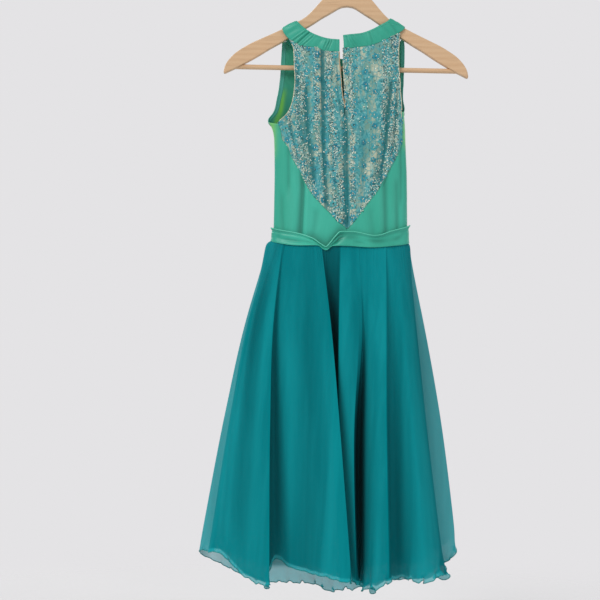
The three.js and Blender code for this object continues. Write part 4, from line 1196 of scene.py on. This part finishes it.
def fold_shade(P, u, v, share, names, folds, hollows):
    """Painted shade inside each fold, 0 to 1: how far the colour is darkened. folds: crisp at the first line and fading
    across the width; hollows: soft valleys.
    """
    out = np.zeros(u.shape)
    at = lambda line: int(np.argmin(np.abs(u[0] - share[names.index(line)])))
    for start, end, power, width, flip in folds:
        a, b = at(start), at(end)
        k = b if flip else a
        away = np.abs(P[..., 0] - P[:, k:k + 1, 0])
        w = through([q[0] for q in width], [q[1] for q in width], True)(v)
        f = np.clip(1 - np.maximum(away, 0) / np.maximum(w, 1), 0, 1)
        f = f * f * (3 - 2 * f) * through([q[0] for q in power], [q[1] for q in power], True)(v)
        f = np.where((u >= u[0, a]) & (u <= u[0, b]), f, 0)
        out = np.maximum(out, f)
    for line, power, width in hollows:
        k = at(line)
        w = through([q[0] for q in width], [q[1] for q in width], True)(v)
        f = np.exp(-((P[..., 0] - P[:, k:k + 1, 0]) / w) ** 2) * through([q[0] for q in power], [q[1] for q in power], True)(v)
        f = np.where(np.abs(u - u[0, k]) < 0.09, f, 0)
        out = 1 - (1 - out) * (1 - f)
    return np.clip(out, 0, 1)


# how far the rolled hem curls along each width, by share of the hem
BACK_CURL = [(0, 0.3), (0.06, 0.3), (0.12, 0.6), (0.2, 1.2), (0.245, 0.9), (0.28, 0.4), (0.4, 0.6), (0.5, 0.7), (0.56, 0.9), (0.62, 1.9), (0.72, 1.8), (0.78, 0.7), (0.84, 1.0), (0.92, 1.9), (1, 1.6)]
FRONT_CURL = [(0, 1.2), (0.1, 1.1), (0.3, 0.9), (0.5, 1.6), (0.6, 1.4), (0.68, 0.6), (0.8, 0.6), (0.9, 0.5), (1, 0.4)]
# painted shade in the skirt's folds (the SHADE tables) and in soft valleys (the HOLLOWS tables), read by fold_shade
BACK_SHADE = [
    ("first ridge", "panel left", [(0, 0.0), (0.2, 0.2), (0.32, 0.4), (0.5, 0.52), (0.8, 0.55), (1, 0.6)], [(0, 7), (0.3, 10), (0.7, 15), (1, 22)], False),
    ("centre left edge", "centre right edge", [(0, 0.55), (0.12, 0.70), (0.28, 0.94), (0.45, 0.80), (0.7, 0.76), (1, 0.72)], [(0, 90), (1, 90)], False),
    ("second edge", "third ridge", [(0, 0.0), (0.18, 0.06), (0.32, 0.35), (0.45, 0.85), (0.6, 1.0), (0.85, 0.95), (1, 0.6)], [(0, 8), (0.3, 18), (0.5, 33), (0.8, 32), (1, 17)], False),
    ("third edge", "bright ridge", [(0, 0.0), (0.2, 0.08), (0.32, 0.22), (0.5, 0.36), (0.8, 0.42), (1, 0.45)], [(0, 10), (0.4, 20), (1, 36)], False),
]
BACK_HOLLOWS = [
    ("left valley", [(0, 0.1), (0.2, 0.22), (0.6, 0.26), (1, 0.15)], [(0, 7), (0.5, 12), (1, 16)]),
    ("panel valley", [(0, 0.05), (0.3, 0.16), (0.8, 0.2), (1, 0.3)], [(0, 10), (0.5, 16), (1, 22)]),
    ("right edge", [(0, 0.05), (0.3, 0.22), (1, 0.25)], [(0, 4), (0.5, 7), (1, 9)]),
]
FRONT_SHADE = [
    ("front ridge one", "front valley one", [(0, 0.05), (0.25, 0.2), (0.6, 0.32), (1, 0.35)], [(0, 16), (0.5, 34), (1, 52)], False),
    ("front ridge two", "front valley two", [(0, 0.05), (0.25, 0.2), (0.6, 0.32), (1, 0.35)], [(0, 16), (0.5, 34), (1, 50)], False),
    ("front valley two", "front ridge three", [(0, 0.05), (0.25, 0.22), (0.6, 0.35), (1, 0.35)], [(0, 14), (0.5, 26), (1, 40)], True),
]
FRONT_HOLLOWS = [
    ("front valley one", [(0, 0.15), (0.3, 0.4), (0.8, 0.45), (1, 0.4)], [(0, 14), (0.5, 24), (1, 34)]),
    ("front valley two", [(0, 0.15), (0.3, 0.45), (0.8, 0.5), (1, 0.4)], [(0, 14), (0.5, 24), (1, 34)]),
]

V_ROWS = np.concatenate([np.linspace(0, 0.03, 9)[:-1], np.linspace(0.03, 0.93, 76)[:-1], np.linspace(0.93, 1, 47)])


def skirt(name, rows, side, nu, seed, mat, out, sheer, ruffle=1.0):
    """One full width of chiffon. sheer is how far above the hem it is a single layer, mm."""
    share = np.array([0.0] + list(np.cumsum([math.hypot(b[6] - a[6], b[7] - a[7]) for a, b in zip(rows, rows[1:])])))
    share /= share[-1]
    col = lambda f: through(share, [f(r) for r in rows], True)
    s_top = col(lambda r: to_s((r[1], -542.0))[0])
    x1, y1, x2, y2, xh, yh, zh = [col(lambda r, i=i: r[i]) for i in range(2, 9)]
    u, v = np.meshgrid(np.linspace(0, 1, nu + 1), V_ROWS)
    s_ = np.clip(s_top(u), -1, 1)
    s_ = s_ - np.sign(s_) * 0.003 * np.abs(s_) ** 8
    zt = waist(body(s_, -542.0 + 0 * s_, side)[..., 0], side) + 1.5
    top = body(s_, zt, side)
    flare = np.where(s_ < 0, -FLARE_L, FLARE_R) * np.abs(s_) ** 3
    tuck = np.where(v < 0.008, 1, np.exp(np.minimum(0, (0.008 - v) / 0.006)))
    P = np.stack([down(v, top[..., 0] + flare, x1(u), x2(u), xh(u)) - flare * tuck,
                  down(v, top[..., 1], y1(u), y2(u), yh(u)), zt + (zh(u) - zt) * v], -1)
    n = normals(P)
    along = np.gradient(P, axis=1)
    along /= np.maximum(np.linalg.norm(along, axis=2, keepdims=True), 1e-9)
    arc = np.concatenate([[0], np.cumsum(np.linalg.norm(np.diff(P[-1], axis=0), axis=1))])[None, :] + 0 * u
    fall = zt - P[..., 2]
    left = (zt - zh(u)) - fall                 # mm above the hem
    sw = [Swell(seed + i, 9) for i in range(6)]
    d = 1.6 * sw[0](arc / 36, fall / 260) * v**0.8 + 0.7 * sw[1](arc / 13, fall / 180) * v
    # gathers under the sash
    d = d + 0.8 * sw[5](arc / 3.2, fall / 90) * np.exp(-fall / 60.0) * np.clip(fall / 12, 0, 1)
    # the rolled hem pulls into small uneven ruffles
    curl = BACK_CURL if side < 0 else FRONT_CURL
    amp = through([q[0] for q in curl], [q[1] for q in curl], True)(np.clip(u, 0, 1))
    amp = amp * np.clip(0.9 + 0.6 * sw[2](arc / 34, 0 * v), 0.4, 1.5) * ruffle
    big = arc / 3.9 + 2.3 * sw[3](arc / 30, 0 * v)
    small = arc / 1.9 + 2.0 * sw[4](arc / 17, 0 * v)
    e1, e2, e3 = np.exp(-(left / 24.0) ** 1.3), np.exp(-(left / 11.0) ** 1.2), np.exp(-(left / 6.0) ** 1.2)
    lobe = np.abs(np.sin(big / 2))
    d = d + amp * (3.2 * e1 * np.sin(big * 0.5 + 0.8) + 3.2 * e2 * np.sin(big) + 1.0 * e3 * np.sin(small))
    P = P + n * d[..., None] + along * (amp * (-1.9 * e3 * np.sin(big) + 0.5 * e3 * np.cos(small)))[..., None]
    P[..., 2] += amp * (1.4 * e1 * np.sin(big * 0.37 + 2.2) + 4.2 * e2 * (0.62 - lobe) + 0.7 * e3 * np.sin(small + 2.0))
    thin = sheer * (1 + 0.35 * sw[2](arc / 46, 0 * v))
    hem = 1 - np.clip((left - thin) / (0.5 * sheer) + 0.5, 0, 1)
    hem = hem * hem * (3 - 2 * hem)
    names = [r[0] for r in rows]
    if side > 0:                           # at the outer edges the cloth turns back on itself and is two layers
        hem = hem * np.clip((u - share[names.index("outer right")] - 0.03) / 0.03, 0, 1) * np.clip((share[names.index("outer left")] - 0.03 - u) / 0.03, 0, 1)
    # painted shade in the folds, weaker in the see-through hem band
    deep = fold_shade(P, u, v, share, names, BACK_SHADE if side < 0 else FRONT_SHADE, BACK_HOLLOWS if side < 0 else FRONT_HOLLOWS)
    deep = deep * (1 - 0.75 * hem)
    ob = make(name, P.reshape(-1, 3), grid_faces(nu, len(V_ROWS) - 1, 0, out < 0), mat)
    paint(ob, "deep", deep)
    paint(ob, "hem", hem)
    if side > 0:
        inner = np.clip((u - share[names.index("outer right")] - 0.06) / 0.08, 0, 1) * np.clip((share[names.index("outer left")] - 0.06 - u) / 0.08, 0, 1)
        paint(ob, "thin", 1 - inner)
    roll = tube(name + "_hem", P[-1], 0.8, M_HEM, 6)
    return ob, roll, P


skirt_b, hem_b, PSB = skirt("skirt_back", FOLDS_BACK, -1, 640, 51, M_CHIFFON_B, -1, 6)
skirt_f, hem_f, PSF = skirt("skirt_front", FOLDS_FRONT, 1, 480, 61, M_CHIFFON_F, 1, 30)
trim(hem_b)
trim(hem_f)
cloth(skirt_b, ["skirt_back_left", "skirt_back_centre", "skirt_back_right"])
cloth(skirt_f, ["skirt_front_left", "skirt_front_right"])

# ------------------------------------------------------------------ stage
m = Mat("stage_floor", rough=0.95, spec=0.02)
m.color(m.mix(m.span(m.noise(1.5, 2), 0.3, 0.7), lin(236, 235, 236), lin(240, 239, 240)))
sep = m.node("ShaderNodeSeparateXYZ")
m.link(m.co, sep.inputs[0])
far = m.math("SQRT", m.math("ADD", m.math("POWER", sep.outputs[0], 2.0), m.math("POWER", sep.outputs[1], 2.0)))
m.link(m.span(far, 0.55, 1.9, 1.0, 0.0), m.b.inputs["Alpha"])
M_STAGE = m.m
ang = np.linspace(0, 2 * math.pi, 65)[:-1]
rings_ = [0.0, 400.0, 800.0, 1200.0, 1600.0, 2000.0]
fv = [[0, 0, -1400]] + [[r * math.cos(w), r * math.sin(w), -1400] for r in rings_[1:] for w in ang]
ff = [[0, 1 + i, 1 + (i + 1) % 64] for i in range(64)]
for k in range(4):
    for i in range(64):
        a_, b_ = 1 + k * 64 + i, 1 + k * 64 + (i + 1) % 64
        ff.append([a_, a_ + 64, b_ + 64, b_])
floor = make("floor", np.array(fv, float), ff, M_STAGE, smooth=False)

world = bpy.data.worlds.new("studio")
scene.world = world
world.use_nodes = True
wt = world.node_tree
wt.nodes.clear()
wo = wt.nodes.new("ShaderNodeOutputWorld")
seen, lit = wt.nodes.new("ShaderNodeBackground"), wt.nodes.new("ShaderNodeBackground")
seen.inputs[0].default_value = lin(228, 227, 229)
seen.inputs[1].default_value = 1.0
lit.inputs[0].default_value = (0.98, 0.99, 1.0, 1)
lit.inputs[1].default_value = 0.46
pick, path = wt.nodes.new("ShaderNodeMixShader"), wt.nodes.new("ShaderNodeLightPath")
wt.links.new(path.outputs["Is Camera Ray"], pick.inputs[0])
wt.links.new(lit.outputs[0], pick.inputs[1])
wt.links.new(seen.outputs[0], pick.inputs[2])
wt.links.new(pick.outputs[0], wo.inputs[0])


def soft_sun(name, away, strength, angle, color=(1, 1, 1)):
    """Broad soft light coming from the direction away, strength in W/m2."""
    d = bpy.data.lights.new(name, "SUN")
    d.energy = strength
    d.angle = math.radians(angle)
    d.color = color
    o = bpy.data.objects.new(name, d)
    scene.collection.objects.link(o)
    o.rotation_euler = Vector(away).to_track_quat("Z", "Y").to_euler()
    return o


soft_sun("key", (-1.1, -1.5, 1.25), 1.35, 32, (1.0, 0.985, 0.965))
soft_sun("fill", (1.5, -1.4, 0.4), 0.28, 60, (0.96, 0.98, 1.0))
soft_sun("back_left", (-1.2, 1.6, 1.0), 0.95, 40)
soft_sun("back_right", (1.5, 1.2, 0.8), 0.55, 40)

scene.view_settings.view_transform = "Standard"
scene.view_settings.look = "None"
